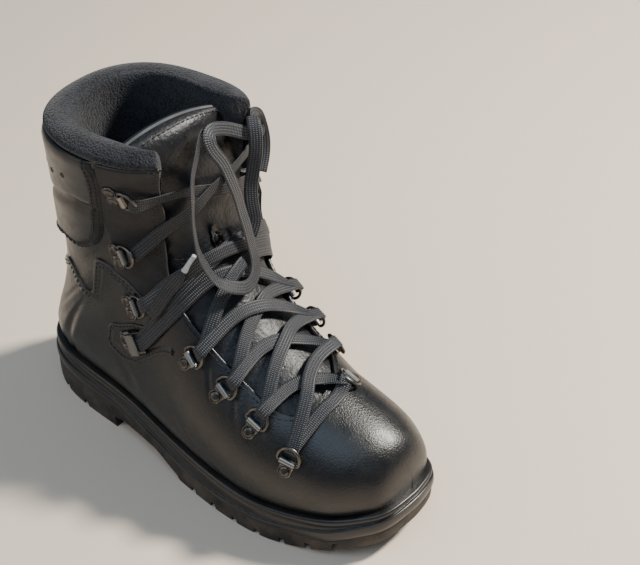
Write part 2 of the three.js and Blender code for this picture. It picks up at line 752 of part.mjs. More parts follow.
// The tongue's table at any row
function tongueEntry(row) {
  const at = (column) => interpolate(row, TONGUE.map((entry) => entry.row), TONGUE.map((entry) => entry[column]));
  return { row, inset: at('inset'), puff: at('puff'), lean: at('lean') };
}

function tongueLayer(thickness) {
  const COLUMNS = 8;
  return TONGUE.map((entry) => {
    const points = [];
    for (let j = 0; j <= COLUMNS; j++) {
      points.push(tonguePoint(entry, 2 * j / COLUMNS - 1, thickness));
    }
    return points;
  });
}

function tongue() {
  return slab(tongueLayer(0), tongueLayer(TONGUE_THICKNESS));
}

// Faces of the leather that hardware can sit on: the panels and the two raised eyestays
const leatherFaces = [
  SKIN_ROWS.map((row) => [...skinRing(row, 0), skin(row, 0)]),
  patchPoints(eyestayRows(-1), OVERLAY, EYESTAY_COLUMNS),
  patchPoints(eyestayRows(1), OVERLAY, EYESTAY_COLUMNS),
];

// Points spread over the triangles of a grid of points
function spread(grid) {
  const STEPS = 10;
  const points = [];
  for (let i = 0; i + 1 < grid.length; i++) {
    for (let j = 0; j + 1 < grid[i].length; j++) {
      const a = grid[i][j];
      const c = grid[i + 1][j + 1];
      for (const b of [grid[i][j + 1], grid[i + 1][j]]) {
        for (let u = 0; u <= STEPS; u++) {
          for (let v = 0; u + v <= STEPS; v++) {
            const point = a.clone().multiplyScalar(1 - (u + v) / STEPS);
            points.push(point.addScaledVector(b, u / STEPS).addScaledVector(c, v / STEPS));
          }
        }
      }
    }
  }
  return points;
}

const leatherPoints = leatherFaces.flatMap(spread);

// Frame on the leather at the rivets: x towards the ring, z outwards. It is lifted until the
// piece, whose underside is given as a height over x and y, clears the leather by the gap.
function seatOn(entry, side, underside) {
  const REACH = 15;
  const inward = side > 0 ? entry.inward : 0;
  const place = (row, angle) => throatMiddle(row) + side * (angle - inward);
  const normal = lastNormal(entry.rivetRow, place(entry.rivetRow, entry.rivetAngle));
  const seat = skin(entry.rivetRow, place(entry.rivetRow, entry.rivetAngle));
  const aim = skin(entry.ringRow, place(entry.ringRow, entry.ringAngle)).sub(seat);
  const along = aim.addScaledVector(normal, -aim.dot(normal)).normalize();
  const across = new THREE.Vector3().crossVectors(normal, along);
  let lift = 0;
  for (const point of leatherPoints) {
    const from = point.clone().sub(seat);
    const up = from.dot(normal);
    const under = underside(from.dot(along), from.dot(across));
    if (Math.abs(up) < REACH && under !== null) lift = Math.max(lift, up - under);
  }
  const frame = new THREE.Matrix4().makeBasis(along, across, normal);
  frame.setPosition(seat.addScaledVector(normal, lift + GAP));
  return frame;
}

function rivet(x, y) {
  const profile = [
    new THREE.Vector2(0, 0), new THREE.Vector2(RIVET_RADIUS, 0),
    new THREE.Vector2(RIVET_RADIUS, RIVET_HEIGHT * 0.5),
    new THREE.Vector2(RIVET_RADIUS * 0.6, RIVET_HEIGHT), new THREE.Vector2(0, RIVET_HEIGHT),
  ];
  const geometry = new THREE.LatheGeometry(profile, 8);
  geometry.rotateX(Math.PI / 2);
  geometry.translate(x, y, 0);
  return closed(...explode(geometry));
}

function explode(geometry) {
  const points = [];
  const position = geometry.attributes.position;
  for (let i = 0; i < position.count; i++) {
    points.push(new THREE.Vector3().fromBufferAttribute(position, i));
  }
  const triangles = [];
  for (let i = 0; i < geometry.index.count; i += 3) {
    triangles.push([0, 1, 2].map((k) => geometry.index.getX(i + k)));
  }
  return [points, triangles];
}

function plate(outlinePoints, thickness) {
  const shape = new THREE.Shape(outlinePoints.map(([x, y]) => new THREE.Vector2(x, y)));
  return new THREE.ExtrudeGeometry(shape, { depth: thickness, bevelEnabled: false });
}

// Profile in the x-z plane, extruded across by a width centred on y = 0
function profileAcross(shape, width) {
  const geometry = new THREE.ExtrudeGeometry(shape, { depth: width, bevelEnabled: false });
  geometry.rotateX(Math.PI / 2);
  geometry.translate(0, width / 2, 0);
  return geometry;
}

const clipOuter = CLIP_BORE + CLIP_WALL;
const clipX = RIVET_RADIUS + clipOuter + 0.4;
const FOOTPRINT_MARGIN = 0.5;

// Underside of a clip and the tilted ring that it holds
function clipUnderside(rivets) {
  const spreadOut = (rivets > 1 ? RIVET_SPACING / 2 : 0) + CLIP_WIDTH / 2 + FOOTPRINT_MARGIN;
  const ringHalf = RING_HALF_WIDTH + WIRE_RADIUS + FOOTPRINT_MARGIN;
  return (x, y) => {
    if (x < -RIVET_RADIUS - FOOTPRINT_MARGIN) return null;
    if (x <= clipX + clipOuter) return Math.abs(y) <= spreadOut ? 0 : null;
    if (x > clipX + RING_DEPTH + WIRE_RADIUS || Math.abs(y) > ringHalf) return null;
    return clipOuter - WIRE_RADIUS + (x - clipX) * Math.tan(RING_TILT * DEG);
  };
}

function lockUnderside(x, y) {
  const back = -RIVET_RADIUS - FOOTPRINT_MARGIN;
  const front = RIVET_RADIUS + LOCK_LENGTH + 1;
  const half = RIVET_SPACING / 2 + RIVET_RADIUS + FOOTPRINT_MARGIN;
  return x >= back && x <= front && Math.abs(y) <= half ? 0 : null;
}

// Folded clip with one or two rivets that holds a ring by its bar
function clip(rivets) {
  const spread = rivets > 1 ? RIVET_SPACING / 2 : 0;
  const half = CLIP_WIDTH / 2;
  const tail = -RIVET_RADIUS * 0.7;
  let solid = toManifold(plate([
    [tail, -spread - half], [RIVET_RADIUS * 0.6, -spread - half], [RIVET_RADIUS + 1, -half],
    [clipX, -half], [clipX, half], [RIVET_RADIUS + 1, half],
    [RIVET_RADIUS * 0.6, spread + half], [tail, spread + half],
  ], PLATE_THICKNESS));
  for (let i = 0; i < rivets; i++) {
    const y = rivets > 1 ? (i - 0.5) * RIVET_SPACING : 0;
    solid = solid.add(toManifold(rivet(0, y)));
  }
  const loop = new THREE.Shape();
  loop.absarc(clipX, clipOuter, clipOuter, 0, 2 * Math.PI);
  const bore = new THREE.Path();
  bore.absarc(clipX, clipOuter, CLIP_BORE, 0, 2 * Math.PI, true);
  const around = new THREE.ExtrudeGeometry(loop, { depth: CLIP_WIDTH, bevelEnabled: false, curveSegments: 3 });
  const hole = new THREE.Shape();
  hole.absarc(clipX, clipOuter, CLIP_BORE, 0, 2 * Math.PI);
  const drill = new THREE.ExtrudeGeometry(hole, { depth: CLIP_WIDTH + 2, bevelEnabled: false, curveSegments: 3 });
  for (const [geometry, width] of [[around, CLIP_WIDTH], [drill, CLIP_WIDTH + 2]]) {
    geometry.rotateX(Math.PI / 2);
    geometry.translate(0, width / 2, 0);
  }
  return fromManifold(solid.add(toManifold(around)).subtract(toManifold(drill)));
}

// Ring of round wire shaped as a D, its bar on the y axis
function dRing() {
  const SIDES = 5;
  const bar = RING_HALF_WIDTH;
  const path = [
    [0, -bar + 1], [0, bar - 1], [2.2, bar], [RING_DEPTH * 0.66, bar * 0.8],
    [RING_DEPTH, bar * 0.28], [RING_DEPTH, -bar * 0.28], [RING_DEPTH * 0.66, -bar * 0.8], [2.2, -bar],
  ].map(([x, y]) => new THREE.Vector3(x, y, 0));
  const rings = path.map((p, i) => {
    const next = path[(i + 1) % path.length];
    const previous = path[(i + path.length - 1) % path.length];
    const along = next.clone().sub(previous).normalize();
    const side = new THREE.Vector3(along.y, -along.x, 0);
    const ring = [];
    for (let k = 0; k < SIDES; k++) {
      const turn = 2 * Math.PI * k / SIDES;
      const point = p.clone().addScaledVector(side, WIRE_RADIUS * Math.cos(turn));
      ring.push(point.add(new THREE.Vector3(0, 0, WIRE_RADIUS * Math.sin(turn))));
    }
    return ring;
  });
  return loft(rings, true);
}

// Flat hook at the instep: a plate with two rivets, folded over so that the lace runs under it
function laceLock() {
  const back = RIVET_RADIUS + 0.6;
  const front = back + LOCK_LENGTH;
  const roof = PLATE_THICKNESS + LOCK_SLOT;
  const half = RIVET_SPACING / 2 + RIVET_RADIUS;
  let solid = toManifold(plate([[-RIVET_RADIUS, -half], [back + 2, -half], [back + 2, half], [-RIVET_RADIUS, half]],
    PLATE_THICKNESS));
  for (const side of [-1, 1]) {
    solid = solid.add(toManifold(rivet(0, side * RIVET_SPACING / 2)));
  }
  const hook = new THREE.Shape([
    [back, 0], [front, 0], [front, PLATE_THICKNESS], [back + PLATE_THICKNESS, PLATE_THICKNESS],
    [back + PLATE_THICKNESS, roof], [front - 2, roof], [front - 2, roof + PLATE_THICKNESS],
    [back, roof + PLATE_THICKNESS],
  ].map(([x, z]) => new THREE.Vector2(x, z)));
  return fromManifold(solid.add(toManifold(profileAcross(hook, LOCK_WIDTH))));
}

// Small plate with one rivet in the middle of the tongue; its frame's x axis points up the tongue
const KEEPER = { row: 10.45, share: 0.1, width: 9, length: 13 };

function tongueKeeper() {
  const tail = -RIVET_RADIUS - 0.6;
  const half = KEEPER.width / 2;
  const body = plate([[tail, -half], [tail + KEEPER.length, -half * 0.6], [tail + KEEPER.length, half * 0.6], [tail, half]],
    PLATE_THICKNESS);
  return fromManifold(toManifold(body).add(toManifold(rivet(0, 0))));
}

function keeperFrame() {
  const at = (row, share) => tonguePoint(tongueEntry(row), share, 0);
  const seat = at(KEEPER.row, KEEPER.share);
  const along = at(KEEPER.row + 0.6, KEEPER.share).sub(seat).normalize();
  const aside = at(KEEPER.row, KEEPER.share + 0.15).sub(seat);
  const normal = new THREE.Vector3().crossVectors(along, aside).normalize();
  if (normal.x < 0) normal.negate();
  const across = new THREE.Vector3().crossVectors(normal, along);
  const reach = KEEPER.length - RIVET_RADIUS + FOOTPRINT_MARGIN;
  let lift = 0;
  for (const point of spread(tongueLayer(0))) {
    const from = point.sub(seat);
    const inside = from.dot(along) > -RIVET_RADIUS - 1 && from.dot(along) < reach
      && Math.abs(from.dot(across)) < RIVET_RADIUS + FOOTPRINT_MARGIN;
    if (inside) lift = Math.max(lift, from.dot(normal));
  }
  const frame = new THREE.Matrix4().makeBasis(along, across, normal);
  frame.setPosition(seat.addScaledVector(normal, lift + GAP));
  return frame;
}

// Lace: flat straps from ring to ring across the throat, crossed and joined
function laceTurn(entry, side) {
  const angle = throatMiddle(entry.ringRow) + side * (throatHalf(entry.ringRow) - LACE_CORNER);
  return { row: entry.ringRow, angle };
}

function strap(from, to, lift) {
  const STEPS = 3;
  const path = [];
  for (let i = 0; i <= STEPS; i++) {
    const share = i / STEPS;
    const row = from.row + (to.row - from.row) * share;
    const angle = from.angle + (to.angle - from.angle) * share;
    path.push({ point: skin(row, angle, lift), normal: lastNormal(row, angle) });
  }
  const layer = (out) => path.map(({ point, normal }, i) => {
    const next = path[Math.min(i + 1, STEPS)].point;
    const previous = path[Math.max(i - 1, 0)].point;
    const along = next.clone().sub(previous).normalize();
    const side = new THREE.Vector3().crossVectors(along, normal).normalize();
    const flat = new THREE.Vector3().crossVectors(side, along).normalize();
    const centre = point.clone().addScaledVector(flat, out);
    return [-1, 1].map((edge) => centre.clone().addScaledVector(side, edge * LACE_WIDTH / 2));
  });
  return slab(layer(LACE_THICKNESS / 2), layer(-LACE_THICKNESS / 2));
}

function laceCrossings() {
  const steps = LACING.filter((entry) => entry.name !== 'lock');
  const first = steps[0];
  let solid = toManifold(strap(laceTurn(first, -1), laceTurn(first, 1), LACE_LIFT));
  for (let i = 1; i < steps.length; i++) {
    for (const side of [-1, 1]) {
      const from = laceTurn(steps[i - 1], side);
      const to = laceTurn(steps[i], -side);
      solid = solid.add(toManifold(strap(from, to, LACE_LIFT)));
    }
  }
  return filled(fromManifold(solid));
}

// Free parts of the lace, placed by hand: the loop that hangs over the instep, the fold gathered
// at the medial side, and the end that stands out of the fifth lateral ring
const LOOP_POINTS = [
  [146, 41, 230], [149, 30, 240], [147, 18, 246], [148, 9, 248], [153, 12, 239], [159, 13, 228],
  [163, 15, 216], [165, 18, 203], [166, 20, 191], [170, 20, 180], [173, 20, 168], [176, 20, 157],
  [180, 16, 151], [184, 8, 149], [186, -1, 151], [184, -9, 155], [180, -16, 160], [175, -19, 166],
  [171, -21, 174], [168, -23, 184], [167, -24, 196], [166, -24, 208], [164, -21, 221],
  [158, -14, 231], [154, -6, 238],
];
const FOLD_POINTS = [
  [155, 51, 199], [152, 58, 207], [149, 62, 217], [147, 61, 229], [149, 56, 238], [153, 48, 242],
  [159, 43, 237], [162, 40, 225], [162, 37, 212], [162, 34, 200], [165, 31, 189], [168, 30, 178],
];
const END_POINTS = [
  [140, -43, 131], [143, -41, 135], [145, -39, 140], [148, -36, 147], [151, -32, 154],
  [155, -30, 160], [158, -27, 166], [160, -24, 172], [162, -21, 177],
];
const TOWARDS_TOE = [0.6, -0.5, 0.6];
const TOWARDS_MEDIAL = [0.67, 0.73, 0.17];

// Points of a smooth curve through the given ones, at even steps along its length
function evenCurve(points, step) {
  const smooth = new THREE.CatmullRomCurve3(points.map((p) => new THREE.Vector3(...p)));
  return smooth.getSpacedPoints(Math.max(2, Math.round(smooth.getLength() / step)));
}

// Flat lace with eight corners; its flat side turns evenly from one direction to another
function flatCord(points, faceFrom, faceTo) {
  const CORNERS = [
    [0.5, 0.25], [0.42, 0.5], [-0.42, 0.5], [-0.5, 0.25],
    [-0.5, -0.25], [-0.42, -0.5], [0.42, -0.5], [0.5, -0.25],
  ];
  const line = evenCurve(points, 2.2 * LACE_WIDTH);
  const last = line.length - 1;
  return loft(line.map((p, i) => {
    const along = line[Math.min(i + 1, last)].clone().sub(line[Math.max(i - 1, 0)]).normalize();
    const face = new THREE.Vector3(...faceFrom).lerp(new THREE.Vector3(...faceTo), i / last);
    const side = new THREE.Vector3().crossVectors(along, face).normalize();
    const flat = new THREE.Vector3().crossVectors(side, along).normalize();
    return CORNERS.map(([across, up]) => (
      p.clone().addScaledVector(side, across * LACE_WIDTH).addScaledVector(flat, up * LACE_THICKNESS)
    ));
  }));
}

// Materials
const finish = (color, roughness, metalness = 0) => ({ color, roughness, metalness });
const LEATHER = finish(0x1d1e21, 0.5);
const RUBBER = finish(0x222225, 0.45);
const LUG_RUBBER = finish(0x1b1b1c, 0.7);
const KNIT = finish(0x23262e, 0.9);
const INSOLE_CLOTH = finish(0x2b3442, 0.95);
const GUNMETAL = finish(0x6c6a67, 0.35, 0.9);
const LACE_CLOTH = finish(0x25272d, 0.85);

const boot = new THREE.Group();

function addPiece(name, geometry, look) {
  const mesh = new THREE.Mesh(geometry, new THREE.MeshStandardMaterial(look));
  mesh.name = name;
  boot.add(mesh);
  return mesh;
}

addPiece('upper', upper(), LEATHER);
addPiece('midsole', midsole(), RUBBER);
addPiece('outsole', outsole(), LUG_RUBBER);
addPiece('insole', insole(), INSOLE_CLOTH);
addPiece('collar_padding', collarPadding(), KNIT);
addPiece('tongue', tongue(), LEATHER);
addPiece('lace_crossings', laceCrossings(), LACE_CLOTH);
addPiece('tongue_keeper', tongueKeeper(), GUNMETAL).applyMatrix4(keeperFrame());

for (const [sideName, side] of [['lateral', -1], ['medial', 1]]) {
  for (const entry of LACING) {
    if (entry.name === 'lock') {
      const lockFrame = seatOn(entry, side, lockUnderside);
      addPiece(`lace_lock_${sideName}`, laceLock(), GUNMETAL).applyMatrix4(lockFrame);
      continue;
    }
    const frame = seatOn(entry, side, clipUnderside(entry.rivets));
    addPiece(`ring_clip_${sideName}_${entry.name}`, clip(entry.rivets), GUNMETAL).applyMatrix4(frame);
    const hinge = new THREE.Matrix4().makeRotationY(-RING_TILT * DEG);
    hinge.setPosition(clipX, 0, clipOuter);
    const ring = addPiece(`d_ring_${sideName}_${entry.name}`, dRing(), GUNMETAL);
    ring.applyMatrix4(frame.multiply(hinge));
  }
}

// The boot stands with the middle of its box over the origin; the lace's free parts don't count
boot.updateMatrixWorld(true);
const box = new THREE.Box3().setFromObject(boot);
boot.position.set(-(box.min.x + box.max.x) / 2, -(box.min.y + box.max.y) / 2, -box.min.z);

addPiece('lace_loop', flatCord(LOOP_POINTS, TOWARDS_TOE, TOWARDS_MEDIAL), LACE_CLOTH);
addPiece('lace_fold', flatCord(FOLD_POINTS, TOWARDS_TOE, TOWARDS_TOE), LACE_CLOTH);
addPiece('lace_end', flatCord(END_POINTS, TOWARDS_TOE, TOWARDS_TOE), LACE_CLOTH);

export default boot;
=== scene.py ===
# %% [markdown]
# # A right combat boot
#
# The frame holds the boot's solids at their real size. This lesson dresses them: leather, knit,
# rubber, steel and lace. Every surface is a function of two parameters on a numpy grid, in the
# boot's own millimetres: x runs from heel to toe, y to the inner (medial) side, z up.

# %% Tools and the fixed frame
import json
import math

import bmesh
import bpy
import numpy as np
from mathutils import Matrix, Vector


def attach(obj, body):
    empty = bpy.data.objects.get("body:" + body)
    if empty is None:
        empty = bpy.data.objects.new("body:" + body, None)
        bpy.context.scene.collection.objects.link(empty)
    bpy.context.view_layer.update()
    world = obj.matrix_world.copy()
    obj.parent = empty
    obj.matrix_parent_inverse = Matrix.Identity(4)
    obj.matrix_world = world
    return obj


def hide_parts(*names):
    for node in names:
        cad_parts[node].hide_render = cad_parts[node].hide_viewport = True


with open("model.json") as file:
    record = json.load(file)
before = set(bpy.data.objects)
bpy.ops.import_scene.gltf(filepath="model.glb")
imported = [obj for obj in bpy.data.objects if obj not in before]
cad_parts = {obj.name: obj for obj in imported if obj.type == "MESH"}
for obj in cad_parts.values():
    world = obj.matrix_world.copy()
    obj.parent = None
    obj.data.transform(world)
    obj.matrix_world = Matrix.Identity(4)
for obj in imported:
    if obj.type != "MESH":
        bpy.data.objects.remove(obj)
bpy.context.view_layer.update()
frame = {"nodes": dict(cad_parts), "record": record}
MM = 0.001
HEEL_REST_X = 57.0
heel_rest = np.array(frame["record"]["mounts"][0]["pos_m"])
ORIGIN = heel_rest - np.array([HEEL_REST_X, 0.0, 0.0]) * MM
print("boot origin in the frame, mm:", np.round(ORIGIN / MM, 2))


def to_frame(points):
    """Boot millimetres to metres in the frame."""
    return np.asarray(points, dtype=float) * MM + ORIGIN


# %% [markdown]
# ## Camera
#
# The camera stands where the photographer stood: above the outer side, looking down past the toe.
# Its place and direction were worked out from the floor tiles and the boot's own length.

# %% Camera
CAMERA_AT = (685.24, -543.03, 768.78)
CAMERA_LOOK = (-0.4829, 0.5970, -0.6406)
CAMERA_LENS = 85.1

camera_data = bpy.data.cameras.new("camera")
camera_data.lens = CAMERA_LENS
camera_data.sensor_width = 36.0
camera_data.clip_start = 0.05
camera = bpy.data.objects.new("camera", camera_data)
camera.location = to_frame(CAMERA_AT)
camera.rotation_euler = Vector(CAMERA_LOOK).to_track_quat("-Z", "Y").to_euler()
bpy.context.scene.collection.objects.link(camera)
bpy.context.scene.camera = camera

# %% [markdown]
# ## The last
#
# A shoemaker starts from the last, the foot form. Eighteen sections run from the toe tip to the
# collar. Each is a closed curve between a top point on the ridge and a low point under the foot or
# behind the heel, and natural splines through the table's columns make the rows between them.

# %% Sizes and sections of the last
LAST_LENGTH = 313.0
BALL_WIDTH = 105.0
COLLAR_WIDTH = 110.0
HEEL_HEIGHT = 42.0
INSTEP_RISE = 118.0
SHAFT_RISE = 90.0
FLAP_SPREAD = 36.0
FLAP_HINGE = 105.0
FLAP_DIRECTION = np.array([0.24, 0.97, 0.0])
WALL = 2.4
RIM = 4.6
COLLAR_ROW = 17.0

# along, level: shares of length and height; lateral, medial, middle: shares of the width
SECTION_COLUMNS = (
    "wide top_x top_z low_x low_z lateral medial middle widest top_power low_power"
).split()
SECTIONS = np.array([
    (BALL_WIDTH, 1.000, 0.085, 1.000, -0.034, 0.000, 0.000, 0.114, 0.50, 2.0, 2.4),
    (BALL_WIDTH, 0.990, 0.203, 0.990, -0.093, 0.229, 0.190, 0.105, 0.55, 2.0, 2.6),
    (BALL_WIDTH, 0.962, 0.297, 0.962, -0.127, 0.324, 0.295, 0.086, 0.58, 2.0, 2.8),
    (BALL_WIDTH, 0.910, 0.364, 0.914, -0.169, 0.429, 0.381, 0.076, 0.60, 2.0, 3.0),
    (BALL_WIDTH, 0.831, 0.432, 0.840, -0.212, 0.514, 0.419, 0.076, 0.62, 2.0, 3.2),
    (BALL_WIDTH, 0.741, 0.517, 0.754, -0.229, 0.581, 0.419, 0.076, 0.64, 2.0, 3.2),
    (BALL_WIDTH, 0.658, 0.627, 0.671, -0.229, 0.590, 0.390, 0.067, 0.64, 2.0, 3.2),
    (BALL_WIDTH, 0.601, 0.746, 0.581, -0.212, 0.571, 0.362, 0.057, 0.64, 2.0, 3.2),
    (BALL_WIDTH, 0.559, 0.864, 0.466, -0.195, 0.533, 0.333, 0.048, 0.62, 2.0, 3.0),
    (BALL_WIDTH, 0.530, 0.975, 0.345, -0.169, 0.486, 0.324, 0.038, 0.60, 2.0, 2.8),
    (BALL_WIDTH, 0.511, 1.089, 0.224, -0.161, 0.448, 0.343, 0.029, 0.56, 2.0, 2.9),
    (BALL_WIDTH, 0.498, 1.211, 0.105, -0.136, 0.410, 0.362, 0.019, 0.52, 2.0, 3.0),
    (BALL_WIDTH, 0.492, 1.322, 0.048, 0.017, 0.371, 0.371, 0.010, 0.50, 2.1, 2.7),
    (BALL_WIDTH, 0.489, 1.433, 0.067, 0.271, 0.352, 0.362, 0.000, 0.50, 2.1, 2.2),
    (BALL_WIDTH, 0.489, 1.556, 0.096, 0.576, 0.343, 0.352, 0.000, 0.50, 2.1, 2.2),
    (COLLAR_WIDTH, 0.495, 1.689, 0.115, 0.924, 0.391, 0.382, 0.000, 0.50, 2.2, 2.2),
    (COLLAR_WIDTH, 0.511, 1.844, 0.131, 1.411, 0.455, 0.445, 0.000, 0.50, 2.2, 2.2),
    (COLLAR_WIDTH, 0.537, 2.000, 0.141, 1.922, 0.509, 0.491, 0.000, 0.50, 2.3, 2.3),
])
section = {name: SECTIONS[:, i] for i, name in enumerate(SECTION_COLUMNS)}

# Height of the upper's lower edge, as shares of the heel height at even steps from heel to toe
EDGE_HEIGHT = [1.00, 0.99, 0.965, 0.90, 0.82, 0.75, 0.71, 0.79, 0.98]

# The throat's middle and half opening in degrees, and how far the medial flap stands open, by row
THROAT_ROW = [4.6, 5.0, 5.75, 6.7, 7.5, 9.2, 10.1, 11.4, 13.3, 15.6, 17.0]
THROAT_MIDDLE = [-10, -6.5, -2, -1, 0, 0, 0, 0, 0, 1, 3]
THROAT_HALF = [23, 31, 34, 36, 38.5, 43, 41, 38, 38, 39, 43]
THROAT_START = 4.38
FLAP_ROW = [4.6, 5.4, 7, 8.5, 10, 12, 13.5, 15, 17]
FLAP_OPEN = [0, 0.15, 0.32, 0.54, 0.80, 0.94, 0.90, 0.62, 0.14]


# %% Splines and points of the last
def natural_spline(values):
    """Cubic pieces through values one step apart, with no bend at either end."""
    values = np.asarray(values, dtype=float)
    count = len(values)
    system = np.eye(count)
    right = np.zeros(count)
    inner = np.arange(1, count - 1)
    system[inner, inner - 1] = 1.0
    system[inner, inner] = 4.0
    system[inner, inner + 1] = 1.0
    right[inner] = 6.0 * (values[:-2] - 2.0 * values[1:-1] + values[2:])
    bend = np.linalg.solve(system, right)

    def at(where):
        where = np.asarray(where, dtype=float)
        i = np.clip(np.floor(where), 0, count - 2).astype(int)
        t = where - i
        s = 1.0 - t
        cubic = (s**3 - s) * bend[i] + (t**3 - t) * bend[i + 1]
        return s * values[i] + t * values[i + 1] + cubic / 6.0

    return at


def level_height(level):
    """Level 0 is the heel edge, 1 the bend of the instep, 2 the collar."""
    return HEEL_HEIGHT + INSTEP_RISE * np.minimum(level, 1) + SHAFT_RISE * np.maximum(level - 1, 0)


curve = {name: natural_spline(section[name]) for name in ("widest", "top_power", "low_power")}
for name in ("top_x", "low_x"):
    curve[name] = natural_spline(section[name] * LAST_LENGTH)
for name in ("top_z", "low_z"):
    curve[name] = natural_spline(level_height(section[name]))
for name in ("lateral", "medial", "middle"):
    curve[name] = natural_spline(section[name] * section["wide"])
edge_share = natural_spline(EDGE_HEIGHT)


def edge_height(x):
    """Height of the upper's lower edge over the floor."""
    return HEEL_HEIGHT * edge_share(np.asarray(x) / LAST_LENGTH * (len(EDGE_HEIGHT) - 1))


def throat_middle(row):
    """Degrees of the throat's middle; before it starts, the seam of the vamp's grid."""
    return np.interp(row, THROAT_ROW, THROAT_MIDDLE)


def throat_half(row):
    """Half opening in degrees: a round start, then the table."""
    start = np.clip((np.asarray(row) - THROAT_START) / (THROAT_ROW[0] - THROAT_START), 0, 1)
    return np.interp(row, THROAT_ROW, THROAT_HALF) * np.sqrt(start)


def flap_spread(row, angle):
    """Cosine rise from the ridge to the throat's edge, cosine fall from there to the hinge."""
    edge = np.interp(row, THROAT_ROW, THROAT_MIDDLE) + np.interp(row, THROAT_ROW, THROAT_HALF)
    rise = (1 - np.cos(np.pi * np.clip(angle / edge, 0, 1))) / 2
    fall = (1 + np.cos(np.pi * np.clip((angle - edge) / (FLAP_HINGE - edge), 0, 1))) / 2
    return FLAP_SPREAD * np.interp(row, FLAP_ROW, FLAP_OPEN) * np.where(angle < edge, rise, fall)


def last_point(row, angle):
    """Two half superellipses: |cos| and |sin| of the angle, each raised to 2 over the power."""
    row, angle = np.broadcast_arrays(np.asarray(row, dtype=float), np.asarray(angle, dtype=float))
    turn = np.radians(angle)
    front = np.abs(turn) <= np.pi / 2
    power = 2.0 / np.where(front, curve["top_power"](row), curve["low_power"](row))
    along = np.abs(np.cos(turn)) ** power
    across = np.abs(np.sin(turn)) ** power
    widest = curve["widest"](row)
    depth = np.where(front, widest * (1 - along), widest + (1 - widest) * along)
    half = np.maximum(np.where(turn < 0, curve["lateral"](row), curve["medial"](row)), 0)
    top_x = curve["top_x"](row)
    top_z = curve["top_z"](row)
    x = top_x + (curve["low_x"](row) - top_x) * depth
    y = curve["middle"](row) + np.sign(turn) * half * across
    z = top_z + (curve["low_z"](row) - top_z) * depth
    point = np.stack([x, y, z], axis=-1)
    return point + flap_spread(row, angle)[..., None] * FLAP_DIRECTION


def unit(vector):
    """Vectors scaled to length one."""
    vector = np.asarray(vector, dtype=float)
    return vector / np.maximum(np.linalg.norm(vector, axis=-1, keepdims=True), 1e-9)


def last_normal(row, angle):
    """Cross product of the steps along the rows and round the section, pointing outwards."""
    row, angle = np.broadcast_arrays(np.asarray(row, dtype=float), np.asarray(angle, dtype=float))
    ahead = last_point(np.maximum(row - 0.02, 0), angle)
    behind = last_point(np.minimum(row + 0.02, COLLAR_ROW), angle)
    turned = last_point(row, angle + 1.5) - last_point(row, angle - 1.5)
    normal = unit(np.cross(ahead - behind, turned))
    tip = np.broadcast_to(np.array([1.0, 0.0, 0.0]), normal.shape)
    return np.where((row < 0.02)[..., None], tip, normal)


def skin(row, angle, out=0.0):
    """Point of the last moved out along its normal by some millimetres."""
    out = np.asarray(out, dtype=float)
    return last_point(row, angle) + last_normal(row, angle) * out[..., None]


def steps_on_skin(row, angle):
    """Vectors that one row and one degree make on the skin."""
    by_row = (last_point(np.minimum(row + 0.05, COLLAR_ROW), angle)
              - last_point(np.maximum(row - 0.05, 0), angle))
    span = np.minimum(row + 0.05, COLLAR_ROW) - np.maximum(row - 0.05, 0)
    by_angle = (last_point(row, angle + 0.5) - last_point(row, angle - 0.5))
    return by_row / span[..., None], by_angle


def edge_crossing(row, side):
    """Degrees at which a section meets the upper's lower edge, by halving."""
    inside = np.full_like(row, 90.0)
    outside = np.full_like(row, 180.0)
    for _ in range(34):
        angle = (inside + outside) / 2
        point = last_point(row, side * angle)
        above = point[..., 2] > edge_height(point[..., 0])
        inside = np.where(above, angle, inside)
        outside = np.where(above, outside, angle)
    return (inside + outside) / 2


def find_heel_row():
    """The row whose low point lies on the lower edge behind the heel."""
    low, high = 10.0, 13.0
    for _ in range(34):
        row = (low + high) / 2
        if curve["low_z"](row) < edge_height(curve["low_x"](row)):
            low = row
        else:
            high = row
    return low


HEEL_ROW = find_heel_row()
print("heel row", round(HEEL_ROW, 3))


# %% [markdown]
# ## From grids to pieces
#
# A piece is one or more grids of points. One helper turns a grid into quads, one closes two grids
# into a slab, and one builds the Blender object, puts it on the boot's body and gives it its material.

# %% Mesh helpers
def grid(points, uv=None, wrap_rows=False, wrap_columns=False):
    """Quads between neighbouring points of a (rows, columns, 3) array."""
    rows, columns = points.shape[:2]
    index = np.arange(rows * columns).reshape(rows, columns)
    i = np.arange(rows if wrap_rows else rows - 1)
    j = np.arange(columns if wrap_columns else columns - 1)
    here, there = np.ix_(i, j), np.ix_((i + 1) % rows, j)
    right, far = np.ix_(i, (j + 1) % columns), np.ix_((i + 1) % rows, (j + 1) % columns)
    quads = np.stack([index[here], index[right], index[far], index[there]], axis=-1)
    if uv is None:
        uv = np.zeros((rows, columns, 2))
    return points.reshape(-1, 3), quads.reshape(-1, 4), uv.reshape(-1, 2)


def slab(top, bottom, uv=None):
    """Two grids of one size, closed round their borders."""
    rows, columns = top.shape[:2]
    top_part = grid(top, uv)
    points = np.concatenate([top_part[0], bottom.reshape(-1, 3)])
    under = top_part[1][:, ::-1] + rows * columns
    index = np.arange(rows * columns).reshape(rows, columns)
    rim = np.concatenate([index[0, :-1], index[:-1, -1], index[-1, :0:-1], index[:0:-1, 0]])
    after = np.roll(rim, -1)
    wall = np.stack([rim, rim + rows * columns, after + rows * columns, after], axis=-1)
    both = np.concatenate([top_part[2], top_part[2]])
    return points, np.concatenate([top_part[1], under, wall]), both


